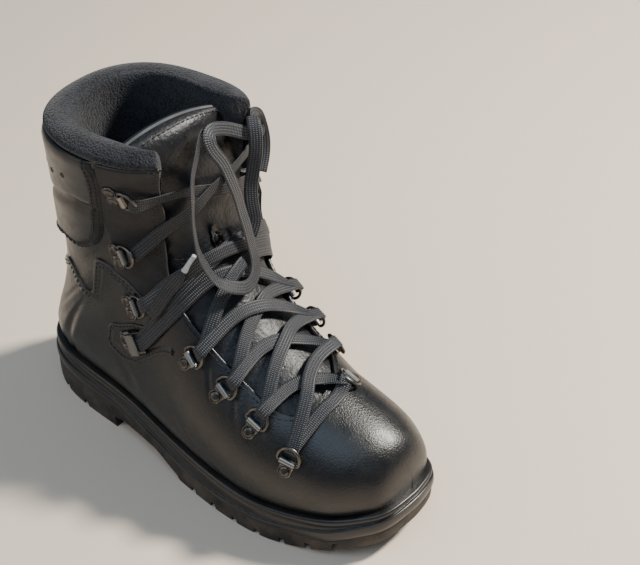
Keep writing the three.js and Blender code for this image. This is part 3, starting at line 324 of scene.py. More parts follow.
def loft(rings, uv=None):
    """Rings joined by quads, each end closed by quads from a ring's point to its mirror point."""
    rings = np.asarray(rings, dtype=float)
    points, quads, uv = grid(rings, uv, wrap_columns=True)
    count = rings.shape[1]
    here = np.arange(count // 2 - 1)
    first = np.stack([here, count - 1 - here, count - 2 - here, here + 1], axis=-1)
    last = first[:, ::-1] + (len(rings) - 1) * count
    return points, np.concatenate([quads, first, last]), uv


def joined(parts):
    """Several parts as one, with their indices moved on."""
    points, quads, uv = [], [], []
    count = 0
    for part in parts:
        points.append(part[0])
        quads.append(part[1] + count)
        uv.append(part[2])
        count += len(part[0])
    return np.concatenate(points), np.concatenate(quads), np.concatenate(uv)


def piece(name, parts, material, nodes=(), outward=True, merge=0.004):
    """A Blender object from parts in boot millimetres, riding on the boot's one body."""
    points, quads, uv = joined(parts)
    mesh = bpy.data.meshes.new(name)
    mesh.from_pydata(to_frame(points).tolist(), [], quads.tolist())
    layer = mesh.uv_layers.new(name="UVMap")
    corner = np.empty(len(mesh.loops), dtype=np.int64)
    mesh.loops.foreach_get("vertex_index", corner)
    layer.data.foreach_set("uv", (uv[corner] * MM).ravel())
    work = bmesh.new()
    work.from_mesh(mesh)
    bmesh.ops.remove_doubles(work, verts=work.verts, dist=merge * MM)
    bmesh.ops.dissolve_degenerate(work, edges=work.edges, dist=0.001 * MM)
    if outward:
        bmesh.ops.recalc_face_normals(work, faces=work.faces)
    work.to_mesh(mesh)
    work.free()
    mesh.polygons.foreach_set("use_smooth", np.ones(len(mesh.polygons), dtype=bool))
    mesh.materials.append(material)
    item = bpy.data.objects.new(name, mesh)
    bpy.context.scene.collection.objects.link(item)
    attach(item, "root")
    if nodes:
        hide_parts(*nodes)
    print(name, len(mesh.polygons), "faces")
    return item


def sharpen(item, degrees=35):
    """Edges steeper than some degrees shade as edges."""
    mesh = item.data
    work = bmesh.new()
    work.from_mesh(mesh)
    limit = math.radians(degrees)
    for edge in work.edges:
        if len(edge.link_faces) == 2 and edge.calc_face_angle(0) > limit:
            edge.smooth = False
    work.to_mesh(mesh)
    work.free()


# %% [markdown]
# ## Materials
#
# Each finish starts from the real material. Colours are sRGB hex values, turned to linear by one
# function, and each pattern's scale is a real size in millimetres.

# %% Material helpers
def linear(hex_value, alpha=1.0):
    """sRGB hex to linear colour."""
    channels = [((hex_value >> shift) & 255) / 255 for shift in (16, 8, 0)]
    curved = [c / 12.92 if c <= 0.04045 else ((c + 0.055) / 1.055) ** 2.4 for c in channels]
    return (*curved, alpha)


def add(tree, kind, inputs=None, **settings):
    """One node: settings are its properties, inputs its sockets, set or linked."""
    node = tree.nodes.new(kind)
    for key, value in settings.items():
        setattr(node, key, value)
    for key, value in (inputs or {}).items():
        if isinstance(value, bpy.types.NodeSocket):
            tree.links.new(value, node.inputs[key])
        else:
            node.inputs[key].default_value = value
    return node


def new_material(name, **sockets):
    """An empty Principled material and its tree, with plain socket values set."""
    material = bpy.data.materials.new(name)
    material.use_nodes = True
    tree = material.node_tree
    shader = tree.nodes["Principled BSDF"]
    for key, value in sockets.items():
        shader.inputs[key.replace("_", " ")].default_value = value
    return material, tree, shader


def per_mm(size_mm):
    """Scale of a pattern whose cells are this large."""
    return 1.0 / (size_mm * MM)


def ramp(tree, factor, low, high, at=(0.0, 1.0)):
    """A two-colour ramp between two hex colours."""
    node = add(tree, "ShaderNodeValToRGB", {0: factor})
    node.color_ramp.elements[0].position = at[0]
    node.color_ramp.elements[0].color = linear(low)
    node.color_ramp.elements[1].position = at[1]
    node.color_ramp.elements[1].color = linear(high)
    return node.outputs[0]


def span(tree, value, low, high, from_low=0.0, from_high=1.0):
    """A value carried from one range to another."""
    node = add(tree, "ShaderNodeMapRange", {
        "Value": value, "From Min": from_low, "From Max": from_high, "To Min": low, "To Max": high,
    })
    return node.outputs[0]


def noise(tree, place, size_mm, detail=2.0, rough=0.5):
    """Noise whose patches have a real size."""
    return add(tree, "ShaderNodeTexNoise", {
        "Vector": place, "Scale": per_mm(size_mm), "Detail": detail, "Roughness": rough,
    }).outputs[0]


def cells(tree, place, size_mm, feature="F1"):
    """Cells of a real size: grain or the loops of a knit."""
    inputs = {"Vector": place, "Scale": per_mm(size_mm)}
    return add(tree, "ShaderNodeTexVoronoi", inputs, feature=feature).outputs[0]


def bumped(tree, height, strength, depth_mm, under=None, invert=False):
    """A bump from a pattern, on top of another bump where one is given."""
    inputs = {"Height": height, "Strength": strength, "Distance": depth_mm * MM}
    if under is not None:
        inputs["Normal"] = under
    return add(tree, "ShaderNodeBump", inputs, invert=invert).outputs[0]


def math_node(tree, operation, *values):
    """One arithmetic node over values or sockets."""
    return add(tree, "ShaderNodeMath", dict(enumerate(values)), operation=operation).outputs[0]


def feed(tree, shader, **outputs):
    """Outputs linked to the shader's sockets, named with underscores for spaces."""
    for key, value in outputs.items():
        tree.links.new(value, shader.inputs[key.replace("_", " ")])


# %% [markdown]
# ### Waxed full-grain leather
#
# Cowhide with its natural grain, dyed through and waxed. The grain is cells of about half a
# millimetre, drawn at 1.1 mm so that it shows. Wax gives a soft sheen, patchy where hands and
# weather have taken it off, and a bluish look where the sky is mirrored on the toe.

# %% Leather
CLOUD_MM = 38
SCUFF_MM = 9


def leather_material(name, low, high, rough, grain_mm, grain_depth, sheen=0.0, coat=0.0):
    """Colour clouds, scuffed gloss, and grain of cells with finer noise on them."""
    material, tree, shader = new_material(
        name, IOR=1.5, Coat_Weight=coat, Coat_Roughness=0.28, Sheen_Weight=sheen,
    )
    place = add(tree, "ShaderNodeTexCoord").outputs["Object"]
    clouds = noise(tree, place, CLOUD_MM, 4.0)
    scuffs = noise(tree, place, SCUFF_MM, 8.0, 0.72)
    grain = bumped(tree, cells(tree, place, grain_mm, "SMOOTH_F1"), 0.35, grain_depth)
    fine = bumped(tree, noise(tree, place, grain_mm * 0.45, 3.0), 0.3, grain_depth, grain)
    feed(
        tree, shader, Base_Color=ramp(tree, clouds, low, high, (0.35, 0.7)),
        Roughness=span(tree, scuffs, *rough, 0.35, 0.7), Normal=fine,
    )
    return material


smooth_leather = leather_material(
    "waxed_leather", 0x080809, 0x141312, (0.27, 0.44), 1.1, 0.38, coat=0.1,
)
nubuck = leather_material("black_nubuck", 0x161515, 0x2C2927, (0.78, 0.95), 0.9, 0.35, sheen=0.05)
soft_leather = leather_material(
    "grained_tongue_leather", 0x090A0C, 0x14161A, (0.38, 0.55), 2.4, 0.8, coat=0.02,
)


# %% [markdown]
# ### Knit, lining and lace
#
# The collar is a thick knit of charcoal and navy yarn over foam; its loops are about 1.3 mm. The
# lining is a brushed blue-grey cloth. The lace is woven flat from polyester, with lengthwise ribs
# and picks across them about every 0.8 mm, drawn at 1.3 mm; its pattern follows the ribbon's UV.

# %% Cloth
def knit_material(name, low, high, loop_mm, depth):
    """Loops as raised cells, with painted shade in the hollows between them, and fuzz on top."""
    material, tree, shader = new_material(
        name, IOR=1.45, Roughness=0.92, Sheen_Weight=0.14, Sheen_Roughness=0.5,
    )
    place = add(tree, "ShaderNodeTexCoord").outputs["Object"]
    loops = cells(tree, place, loop_mm)
    # Colour factor: painted shade in the hollows between the loops, with clouds of yarn tone.
    hollow_shade_and_tone = math_node(tree, "MULTIPLY_ADD", loops, noise(tree, place, 14, 3.0), 0.1)
    raised = bumped(tree, loops, 0.8, depth, invert=True)
    feed(
        tree, shader, Base_Color=ramp(tree, hollow_shade_and_tone, high, low, (0.05, 0.5)),
        Normal=bumped(tree, noise(tree, place, 0.6), 0.4, 0.2, raised),
    )
    return material


collar_knit = knit_material("knit_over_foam", 0x07080B, 0x34363D, 1.3, 0.7)
lining_cloth = knit_material("lining_cloth", 0x0E1218, 0x222C3C, 1.0, 0.25)
insole_cloth = knit_material("insole_cloth", 0x161C26, 0x2E3A4C, 1.0, 0.25)

LACE_WIDTH = 9.0
LACE_THICKNESS = 1.5
LACE_RIBS = 5
LACE_PICK = 1.3


def band_scale(period_mm):
    """Scale of a Wave Texture whose bands repeat after this length."""
    return 2 * math.pi / 20 / (period_mm * MM)


def lace_material():
    """Ribs along the ribbon and picks across it, with uneven yarn; painted highlight on the raised weave
    and painted shade between.
    """
    material, tree, shader = new_material(
        "woven_lace", IOR=1.5, Roughness=0.5, Sheen_Weight=0.06, Sheen_Roughness=0.4,
    )
    place = add(tree, "ShaderNodeTexCoord").outputs
    bands = [
        add(tree, "ShaderNodeTexWave", {
            "Vector": place["UV"], "Scale": band_scale(period), "Distortion": 0.0,
        }, bands_direction=direction).outputs[0]
        for period, direction in ((LACE_PICK, "Y"), (LACE_WIDTH / LACE_RIBS, "X"))
    ]
    weave = math_node(tree, "MULTIPLY", *bands)
    # Colour factor: painted highlight on the weave's crests and painted shade between them, times uneven
    # yarn.
    rib_light_and_yarn = math_node(tree, "MULTIPLY", weave, noise(tree, place["Object"], 0.8))
    feed(
        tree, shader, Base_Color=ramp(tree, rib_light_and_yarn, 0x040507, 0x4E545F, (0.08, 0.60)),
        Normal=bumped(tree, weave, 0.9, 0.45),
    )
    return material


woven_lace = lace_material()


# %% [markdown]
# ### Rubber, steel, thread and plastic
#
# The sole is moulded rubber: smooth and faintly glossy on the rim, matt and dusty on the tread,
# whose warm light colour is also painted floor bounce.
# The hardware is blackened steel, whose finish has worn to bright metal on its edges. The seams
# are sewn in bonded black thread, and the lace's tip is a pale plastic sleeve.

# %% Rubber, steel, thread and plastic
def rubber_material(name, low, high, rough, dust_and_bounce, speck_mm, strength):
    """Clouds of dust that also dull the rubber, their light colour partly painted floor bounce, and a
    speckled surface.
    """
    material, tree, shader = new_material(name, IOR=1.5)
    place = add(tree, "ShaderNodeTexCoord").outputs["Object"]
    clouds = noise(tree, place, 22, 6.0, 0.65)
    feed(
        tree, shader, Base_Color=ramp(tree, clouds, low, high, (0.4, dust_and_bounce)),
        Roughness=span(tree, clouds, *rough, 0.3, 0.7),
        Normal=bumped(tree, noise(tree, place, speck_mm, 3.0), strength, 0.4),
    )
    return material


rim_rubber = rubber_material("moulded_rubber", 0x0D0D0E, 0x242220, (0.26, 0.42), 0.85, 1.1, 0.15)
# The tread's warm light colour is dust and painted warm bounce from the floor.
tread_rubber = rubber_material("tread_rubber", 0x151413, 0x51483F, (0.6, 0.85), 0.72, 1.6, 0.9)


def steel_material():
    """Dark finish, worn bright where the edges stick out."""
    material, tree, shader = new_material("blackened_steel", Metallic=1.0)
    place = add(tree, "ShaderNodeTexCoord").outputs["Object"]
    worn = add(tree, "ShaderNodeNewGeometry").outputs["Pointiness"]
    patches = noise(tree, place, 3, 6.0)
    both = math_node(tree, "ADD", worn, span(tree, patches, -0.05, 0.07))
    feed(
        tree, shader, Base_Color=ramp(tree, both, 0x1B1A1A, 0x8C8883, (0.49, 0.64)),
        Roughness=span(tree, patches, 0.24, 0.46), Normal=bumped(tree, patches, 0.15, 0.15),
    )
    return material


blackened_steel = steel_material()
bonded_thread = knit_material("bonded_thread", 0x101114, 0x2A2C31, 0.7, 0.15)
tip_plastic, tip_tree, tip_shader = new_material(
    "pale_tip_plastic", Roughness=0.3, IOR=1.49, Coat_Weight=0.3,
)
tip_patches = noise(tip_tree, add(tip_tree, "ShaderNodeTexCoord").outputs["Object"], 2)
feed(tip_tree, tip_shader, Base_Color=ramp(tip_tree, tip_patches, 0x8F9296, 0xC9CCCE))

# %% [markdown]
# ## Upper
#
# The upper is one leather wall of 2.4 mm. Its outer face is the last's skin plus a relief in
# millimetres: two sewn pillows round the cuff, the step of the eyestay, and soft troughs where the
# leather has creased. Solidify gives it the wall, with lining cloth on the inner face.

# %% Lines of the pattern
# The cuff panel's lower edge and its sewn channel, by degrees from the ridge, and its front border
CUFF_ANGLE = [78, 84, 90.5, 104, 121, 150, 180]
CUFF_LOW = [15.2, 14.6, 14.04, 14.16, 14.60, 14.72, 14.75]
CHANNEL_ANGLE = [78, 98, 125.5, 180]
CHANNEL_ROW = [15.32, 15.71, 15.76, 15.8]
FRONT_ROW = [14.0, 14.62, 15.3, 16.03, 16.88, 17.0]
FRONT_ANGLE = [88, 83.5, 80.5, 79, 82, 84]

# Top edge of the quarter on the lateral side: row, degrees; the valley and peak are sharp
QUARTER_EDGE = [
    (13.95, -180), (13.94, -150), (13.90, -127.5), (13.24, -109), (12.45, -95), (12.22, -91),
    (12.50, -90.6), (13.20, -92.2), (13.52, -92.0), (13.42, -88), (13.05, -81), (12.3, -72),
    (11.57, -64.5), (10.9, -60), (10.23, -57), (9.6, -54),
]

# Millimetres: the cuff's two pillows and how soon they rise, and the step of the eyestay
LOWER_PILLOW, LOWER_RISE = 3.4, 8.0
UPPER_PILLOW, UPPER_RISE = 3.2, 7.0
PILLOW_TOP = 17.02
EYESTAY_STEP = 0.9
EYESTAY_LOW = 10.3
EYESTAY_ROWS = [EYESTAY_LOW, 12.0, 13.5, 15.0, 17.0]
EYESTAY_BACK = [66, 73, 80, 83, 81]

# Creases: row, degrees, heading in degrees on the skin, half length, half width,
# depth
CREASES = [
    (11.6, -112, 20, 26, 6, 1.1),
    (11.0, -128, 30, 24, 5, 0.8),
    (12.6, -118, 10, 22, 7, 1.0),
    (11.7, 112, -20, 26, 6, 1.1),
    (12.5, 120, -10, 22, 7, 1.0),
    (7.4, -92, 62, 20, 5, 0.7),
    (6.6, -100, 70, 17, 4, 0.5),
    (7.3, 88, -62, 18, 5, 0.8),
    (6.3, 84, -70, 16, 4, 0.6),
    (5.15, -47, 20, 9, 2.2, 1.0),
    (5.55, -50, 24, 10, 2.2, 1.2),
    (5.95, -51, 28, 9, 2.0, 1.0),
    (6.9, -53, 34, 9, 2.2, 0.9),
    (5.5, 50, -24, 10, 2.2, 1.0),
    (6.0, 52, -28, 9, 2.0, 0.9),
    (14.0, 178, 2, 24, 6, 0.8),
    (12.9, 165, 5, 20, 6, 0.7),
    (9.2, -100, 48, 22, 7, 0.6),
]


def soft_step(value):
    """Rises smoothly from 0 to 1 between 0 and 1."""
    t = np.clip(value, 0, 1)
    return np.sin(t * np.pi / 2)


def upper_relief(row, angle):
    """Millimetres outwards: pillows, eyestay step and creases."""
    by_row, by_angle = steps_on_skin(row, angle)
    row_mm = np.linalg.norm(by_row, axis=-1)
    degree_mm = np.linalg.norm(by_angle, axis=-1)
    turn = np.abs(angle)
    low = np.interp(turn, CUFF_ANGLE, CUFF_LOW)
    channel = np.interp(turn, CHANNEL_ANGLE, CHANNEL_ROW)
    front = np.interp(row, FRONT_ROW, FRONT_ANGLE)
    inside = (turn - front) * degree_mm
    lower = np.minimum(np.minimum((row - low) * row_mm, (channel - row) * row_mm), inside)
    upper_pad = np.minimum(np.minimum((row - channel) * row_mm, (PILLOW_TOP - row) * row_mm), inside)
    pillow = LOWER_PILLOW * soft_step(lower / LOWER_RISE) + UPPER_PILLOW * soft_step(upper_pad / UPPER_RISE)
    behind = (np.interp(row, EYESTAY_ROWS, EYESTAY_BACK) - turn) * degree_mm
    stay = EYESTAY_STEP * soft_step(behind / 3.0) * soft_step((row - EYESTAY_LOW) * 4)
    relief = pillow + np.where(row > EYESTAY_LOW - 0.1, stay, 0.0)
    for at_row, at_angle, heading, long_half, wide_half, depth in CREASES:
        across = (angle - at_angle) * degree_mm
        along = (row - at_row) * row_mm
        turned = math.radians(heading)
        run = across * math.cos(turned) + along * math.sin(turned)
        side = -across * math.sin(turned) + along * math.cos(turned)
        reach = np.exp(-(run / long_half) ** 2)
        trough = (1 - 1.4 * (side / wide_half) ** 2) * np.exp(-(side / wide_half) ** 2)
        relief = relief - depth * reach * trough
    return relief


# %% Upper's wall
SIDE_COLUMNS = 92
upper_rows = np.unique(np.concatenate([
    np.linspace(0, 4.36, 62), np.linspace(THROAT_START, 4.75, 14), np.linspace(4.8, 10.2, 62),
    np.linspace(10.25, COLLAR_ROW, 104), [HEEL_ROW],
]))


def upper_side(side):
    """Angles of one side, from the throat's edge or the seam to the lower edge or the back."""
    row = upper_rows[:, None]
    share = np.linspace(0, 1, SIDE_COLUMNS)[None, :]
    start = throat_middle(upper_rows) + side * throat_half(upper_rows)
    below = upper_rows < HEEL_ROW
    crossing = np.where(below, edge_crossing(np.minimum(upper_rows, HEEL_ROW), side), 180.0)
    end = side * crossing
    angle = start[:, None] + (end - start)[:, None] * share
    row = np.broadcast_to(row, angle.shape)
    points = skin(row, angle, upper_relief(row, angle))
    uv = np.stack([angle * 0.9, row * 16], axis=-1)
    if side < 0:
        points, uv = points[:, ::-1], uv[:, ::-1]
    return grid(points, uv)


upper = piece("upper_leather", [upper_side(-1), upper_side(1)], smooth_leather,
              ["upper"], outward=False)
upper.data.materials.append(lining_cloth)
wall = upper.modifiers.new("wall", "SOLIDIFY")
wall.thickness = WALL * MM
wall.offset = -1.0
wall.material_offset = 1
wall.use_rim = True


# %% [markdown]
# ## Seams, lips and stitches
#
# Panels overlap, so each shows a cut edge: a lip that stands proud at the edge and fades into the
# skin a few millimetres in. A path is a short list of rows and degrees; it is walked at even steps
# on the skin, and lips and stitches are carried along it.

# %% Paths on the skin
def catmull(points, steps=12, closed=False):
    """Smooth curve through points: Catmull-Rom pieces."""
    points = np.asarray(points, dtype=float)
    if closed:
        padded = np.concatenate([points[-1:], points, points[:2]])
    else:
        first = 2 * points[0] - points[1]
        last = 2 * points[-1] - points[-2]
        padded = np.concatenate([first[None], points, last[None]])
    t = np.linspace(0, 1, steps, endpoint=False)[None, :, None]
    a, b, c, d = (padded[k:len(padded) - 3 + k][:, None, :] for k in range(4))
    curve_points = 0.5 * (2 * b + (c - a) * t + (2 * a - 5 * b + 4 * c - d) * t**2
                          + (3 * b - a - 3 * c + d) * t**3)
    result = curve_points.reshape(-1, points.shape[1])
    return result if closed else np.concatenate([result, points[-1:]])


def at_even_steps(points, values, step):
    """Values carried along a curve, read one step apart along its length."""
    gaps = np.linalg.norm(np.diff(points, axis=0), axis=1)
    run = np.concatenate([[0], np.cumsum(gaps)])
    count = max(int(round(run[-1] / step)), 2)
    where = np.linspace(0, run[-1], count + 1)
    columns = [np.interp(where, run, column) for column in np.asarray(values).T]
    return np.stack(columns, axis=-1), where


def skin_path(points, step):
    """Rows and degrees at even steps in millimetres on the skin."""
    fine = catmull(points, 16)
    return at_even_steps(skin(fine[:, 0], fine[:, 1]), fine, step)


def moved_across(path, distance):
    """The path moved sideways on the skin: to the left when looked at from outside."""
    row, angle = path[:, 0], path[:, 1]
    point = skin(row, angle)
    ahead = unit(np.gradient(point, axis=0))
    sideways = unit(np.cross(last_normal(row, angle), ahead))
    by_row, by_angle = steps_on_skin(row, angle)
    rr = np.sum(by_row * by_row, -1)
    aa = np.sum(by_angle * by_angle, -1)
    ra = np.sum(by_row * by_angle, -1)
    br = np.sum(by_row * sideways, -1)
    ba = np.sum(by_angle * sideways, -1)
    scale = rr * aa - ra * ra
    step_row = (br * aa - ba * ra) / scale
    step_angle = (ba * rr - br * ra) / scale
    moved_row = np.clip(row + step_row * distance, 0, COLLAR_ROW)
    return np.stack([moved_row, angle + step_angle * distance], axis=-1)


def on_relief(path, lift):
    """Points over the upper's dressed surface."""
    row, angle = path[:, 0], path[:, 1]
    return skin(row, angle, upper_relief(row, angle) + lift)


# Distance from the cut edge, share of the lip's lift
LIP_SECTION = [
    (-0.25, -0.6), (-0.1, 0.45), (0.15, 0.85), (0.6, 1.0), (2.0, 1.0), (4.0, 0.72), (6.5, 0.25),
    (8.0, -0.4),
]
LIP_STEP = 1.2
LIP_ROOT = -0.7


def lip(points, lift, side=1, width=1.0):
    """A cut edge: the section carried along the path."""
    path, run = skin_path(points, LIP_STEP)
    top, under = [], []
    for distance, share in LIP_SECTION:
        moved = moved_across(path, side * distance * width)
        top.append(on_relief(moved, share * lift))
        under.append(on_relief(moved, LIP_ROOT))
    uv = np.stack(np.meshgrid(run, [s[0] for s in LIP_SECTION]), axis=-1)
    return slab(np.array(top), np.array(under), uv)


STITCH_LENGTH = 2.7
STITCH_PITCH = 3.7
STITCH_RADIUS = 0.42


def capsule_run(centres, ahead, up, length, radius):
    """One small closed capsule for each centre: rings of six points along its axis."""
    along = np.array([-0.5, -0.42, -0.2, 0.2, 0.42, 0.5]) * length
    thick = np.array([0.15, 0.75, 1.0, 1.0, 0.75, 0.15]) * radius
    turn = np.linspace(0, 2 * np.pi, 6, endpoint=False)
    side = unit(np.cross(up, ahead))
    above = unit(np.cross(ahead, side))
    round_part = (np.cos(turn)[None, None, :, None] * side[:, None, None, :]
                  + np.sin(turn)[None, None, :, None] * above[:, None, None, :])
    points = (centres[:, None, None, :] + along[None, :, None, None] * ahead[:, None, None, :]
              + thick[None, :, None, None] * round_part)
    count = len(centres)
    one = grid(np.zeros((6, 6, 3)), wrap_columns=True)[1]
    caps = np.array([[0, 1, 2, 3], [0, 3, 4, 5], [30, 31, 32, 33], [30, 33, 34, 35]])
    one = np.concatenate([one, caps])
    quads = (one[None] + (np.arange(count) * 36)[:, None, None]).reshape(-1, 4)
    return points.reshape(-1, 3), quads, np.zeros((count * 36, 2))


def stitches(points, offset, lift):
    """Stitches along a path at an offset to its left."""
    moved = moved_across(skin_path(points, 0.5)[0], offset)
    surface = on_relief(moved, lift)
    sampled, _ = at_even_steps(surface, np.concatenate([surface, moved], axis=1), STITCH_PITCH)
    centres = sampled[:, :3]
    ahead = unit(np.gradient(centres, axis=0))
    up = last_normal(sampled[:, 3], sampled[:, 4])
    return capsule_run(centres, ahead, up, STITCH_LENGTH, STITCH_RADIUS)


def mirrored(points):
    """The same path on the medial side, walked the other way round."""
    return [(row, -angle) for row, angle in points]


# %% Lips and stitches of the panels
CUFF_BORDER = [
    (16.98, -84), (16.6, -80.5), (16.03, -78.5), (15.3, -80), (14.75, -82.5), (14.3, -86.5),
    (14.08, -92), (14.08, -98), (14.16, -104), (14.38, -112), (14.58, -121), (14.68, -135),
    (14.72, -150), (14.75, -180),
]
LOCK_PATCH = [
    (8.35, -62), (8.73, -68.5), (9.09, -80), (9.35, -88), (9.75, -91.5), (10.3, -92), (10.65, -89),
    (10.72, -85), (10.5, -80), (10.2, -73), (9.75, -66.5), (9.3, -60),
]

# Path, then each seam's distance from the edge and its lift
SEAMS = [
    (CUFF_BORDER, (2.2, 1.1), (5.2, 0.75)), (QUARTER_EDGE, (2.6, 1.25), (5.4, 0.7)),
    (LOCK_PATCH, (2.2, 0.9)),
]
THROAT_SEAM_ROWS = (
    4.62, 5.0, 5.6, 6.4, 7.4, 8.6, 9.6, 10.6, 11.6, 12.8, 14.0, 15.2, 16.2, 16.95,
)
SECOND_SEAM_FROM = 7
seams, cuff_lips, quarter_lips = [], [], []
for side in (-1, 1):
    handed = mirrored if side > 0 else list
    cuff_lips.append(lip(handed(CUFF_BORDER), 1.0, side))
    quarter_lips.append(lip(handed(QUARTER_EDGE), 1.3, side, width=1.15))
    quarter_lips.append(lip(handed(LOCK_PATCH), 0.9, side, width=0.8))
    for path, *rows_of_stitches in SEAMS:
        seams += [stitches(handed(path), side * away, lift) for away, lift in rows_of_stitches]
    throat_path = [
        (row, float(throat_middle(row) + side * throat_half(row))) for row in THROAT_SEAM_ROWS
    ]
    seams.append(stitches(throat_path, side * -3.2, 0.3))
    seams.append(stitches(throat_path[SECOND_SEAM_FROM:], side * -6.2, 0.3))


def eyestay_slab(side):
    """A thin nubuck panel from the throat's edge to the cuff's border, its rim rounded down."""
    row = np.linspace(EYESTAY_LOW + 0.06, COLLAR_ROW - 0.04, 120)[:, None]
    share = np.linspace(0, 1, 40)[None, :]
    front = throat_middle(row) + side * (throat_half(row) - 0.3)
    back = side * np.interp(row, EYESTAY_ROWS, EYESTAY_BACK)
    angle = front + (back - front) * share
    row = row + 0 * angle
    to_end = np.minimum(row - EYESTAY_LOW, COLLAR_ROW + 0.05 - row) / 0.05
    rim = np.minimum(np.minimum(share, 1 - share) / 0.04, to_end)
    surface = upper_relief(row, angle)
    top = skin(row, angle, surface + 0.05 + 0.35 * soft_step(rim))
    under = skin(row, angle, surface - 0.5)
    return slab(top, under)


piece("eyestay_panels", [eyestay_slab(-1), eyestay_slab(1)], nubuck)
piece("cuff_border", cuff_lips, nubuck)
piece("quarter_edges", quarter_lips, smooth_leather)
piece("stitching", seams, bonded_thread, merge=0.0005)

# %% Vents of the cuff
def skin_frame(row, angle, lift):
    """Axes and origin on the relief: x along the rows, z outwards."""
    row = np.asarray(float(row))
    angle = np.asarray(float(angle))
    normal = last_normal(row, angle)
    along = steps_on_skin(row[None], angle[None])[0][0]
    along = unit(along - normal * np.dot(along, normal))
    out = float(upper_relief(row[None], angle[None])[0]) + lift
    origin = last_point(row, angle) + normal * out
    return np.stack([along, np.cross(normal, along), normal]), origin


def placed(part, seat):
    """A part from its own frame to the boot's."""
    axes, origin = seat
    return part[0] @ axes + origin, part[1], part[2]


def lathe(profile, x=0.0, y=0.0, sides=28):
    """A profile of (radius, z) turned about an upright axis."""
    profile = np.asarray(profile, dtype=float)
    turn = np.linspace(0, 2 * np.pi, sides, endpoint=False)
    points = np.stack([
        x + profile[:, :1] * np.cos(turn), y + profile[:, :1] * np.sin(turn),
        profile[:, 1:] + 0 * turn,
    ], axis=-1)
    return grid(points, wrap_columns=True)


# Radius, height: a raised ring round a dark hollow
VENT_PROFILE = [
    (0.0, -0.5), (0.0, -0.25), (1.1, -0.2), (1.3, 0.2), (1.7, 0.22), (2.0, -0.05), (2.0, -0.5),
    (0.0, -0.5),
]
VENTS = [(16.35, 104), (16.3, 118), (16.3, 136), (16.3, 156), (16.3, 176)]
vent_parts = [
    placed(lathe(VENT_PROFILE, sides=14), skin_frame(row, side * angle, 0.05))
    for row, angle in VENTS for side in (-1, 1)
]
piece("vents", vent_parts, bonded_thread, merge=0.0005)

# %% [markdown]
# ## Sole
#
# The outline follows the lower edge of the upper. The rim is a moulded band with a fine groove at
# its top and a swelling side; under it lie the lugs, the heel block with its front breast, the
# arch and the toe spring.

# %% Outline of the sole
OUTLINE_COUNT = 420
HEEL_TREAD = 21.0
FOREFOOT_TREAD = 12.5
TOE_TREAD = 10.0
TOE_SPRING = 17.0
HEEL_BEVEL = 3.0
ARCH_LIFT = 12.0
LUG_DEPTH = 4.5
LUG_GAP = 4.0
SOLE_FRONT = LAST_LENGTH + RIM


def sole_outline():
    """Where the sections meet the lower edge, round both sides, at even steps."""
    share = (1 - np.cos(np.pi * np.linspace(0, 1, 400))) / 2
    rows = 0.01 + (HEEL_ROW - 0.01) * share
    lateral = last_point(rows, -edge_crossing(rows, -1))[::-1, :2]
    medial = last_point(rows, edge_crossing(rows, 1))[:, :2]
    loop = np.concatenate([lateral, medial, lateral[:1]])
    even, _ = at_even_steps(loop, loop, 1.0)
    run = np.linspace(0, len(even) - 1, OUTLINE_COUNT, endpoint=False)
    index = np.arange(len(even))
    points = np.stack([np.interp(run, index, even[:, k]) for k in (0, 1)], axis=-1)
    for _ in range(4):
        points = (np.roll(points, 1, axis=0) + 2 * points + np.roll(points, -1, axis=0)) / 4
    return points


outline = sole_outline()
outline_step = np.roll(outline, -1, axis=0) - np.roll(outline, 1, axis=0)
outline_out = unit(np.stack([outline_step[:, 1], -outline_step[:, 0]], axis=-1))
after = np.roll(outline, -1, axis=0)
outline_out *= np.sign(np.sum(outline[:, 0] * after[:, 1] - outline[:, 1] * after[:, 0]))


SPRING_START, SPRING_POWER = 0.76, 1.7
BEVEL_END, BEVEL_POWER = 0.05, 1.5


def along_sole(x):
    """Share of the sole's length, from the heel's back to the toe."""
    return (x + RIM) / (SOLE_FRONT + RIM)


def ground(x):
    """Height of the tread: flat, with the toe spring and a small bevel behind the heel."""
    along = along_sole(x)
    toe = np.clip((along - SPRING_START) / (1 - SPRING_START), 0, None) ** SPRING_POWER
    heel = np.clip(1 - along / BEVEL_END, 0, None) ** BEVEL_POWER
    return TOE_SPRING * toe + HEEL_BEVEL * heel


TREAD_ALONG = [0, 0.30, 0.44, 0.56, SPRING_START, 0.90, 1]
TREAD_TOP = [
    HEEL_TREAD + 1, HEEL_TREAD, HEEL_TREAD - 2, FOREFOOT_TREAD + 1.5, FOREFOOT_TREAD,
    FOREFOOT_TREAD + 3.2, TOE_SPRING + TOE_TREAD,
]


def tread_top(x):
    """Height of the joint between midsole and outsole."""
    return np.interp(along_sole(x), TREAD_ALONG, TREAD_TOP)


def outline_ring(out, height_at):
    """The outline moved outwards, at a height that depends on x."""
    moved = outline + outline_out * np.asarray(out).reshape(-1, 1)
    return np.column_stack([moved, height_at(moved[:, 0])])


def cap_ring(ring, share):
    """A ring drawn in towards the sole's middle line."""
    inner = ring.copy()
    inner[:, 1] = ring[:, 1] * (1 - share) + 2.0 * share
    inner[:, 0] = ring[:, 0] * (1 - share) + np.clip(ring[:, 0], 25, LAST_LENGTH - 25) * share
    return inner


# %% Midsole
MIDSOLE_PROFILE = [
    (0.000, 0.10), (0.000, 0.60), (0.020, 0.80), (0.060, 0.95), (0.120, 1.00), (0.185, 1.00),
    (0.215, 0.95), (0.235, 0.74), (0.260, 0.70), (0.290, 0.74), (0.320, 0.86), (0.400, 0.95),
    (0.500, 1.00), (0.620, 1.05), (0.740, 1.08), (0.840, 1.07), (0.930, 1.03), (1.000, 0.98),
]


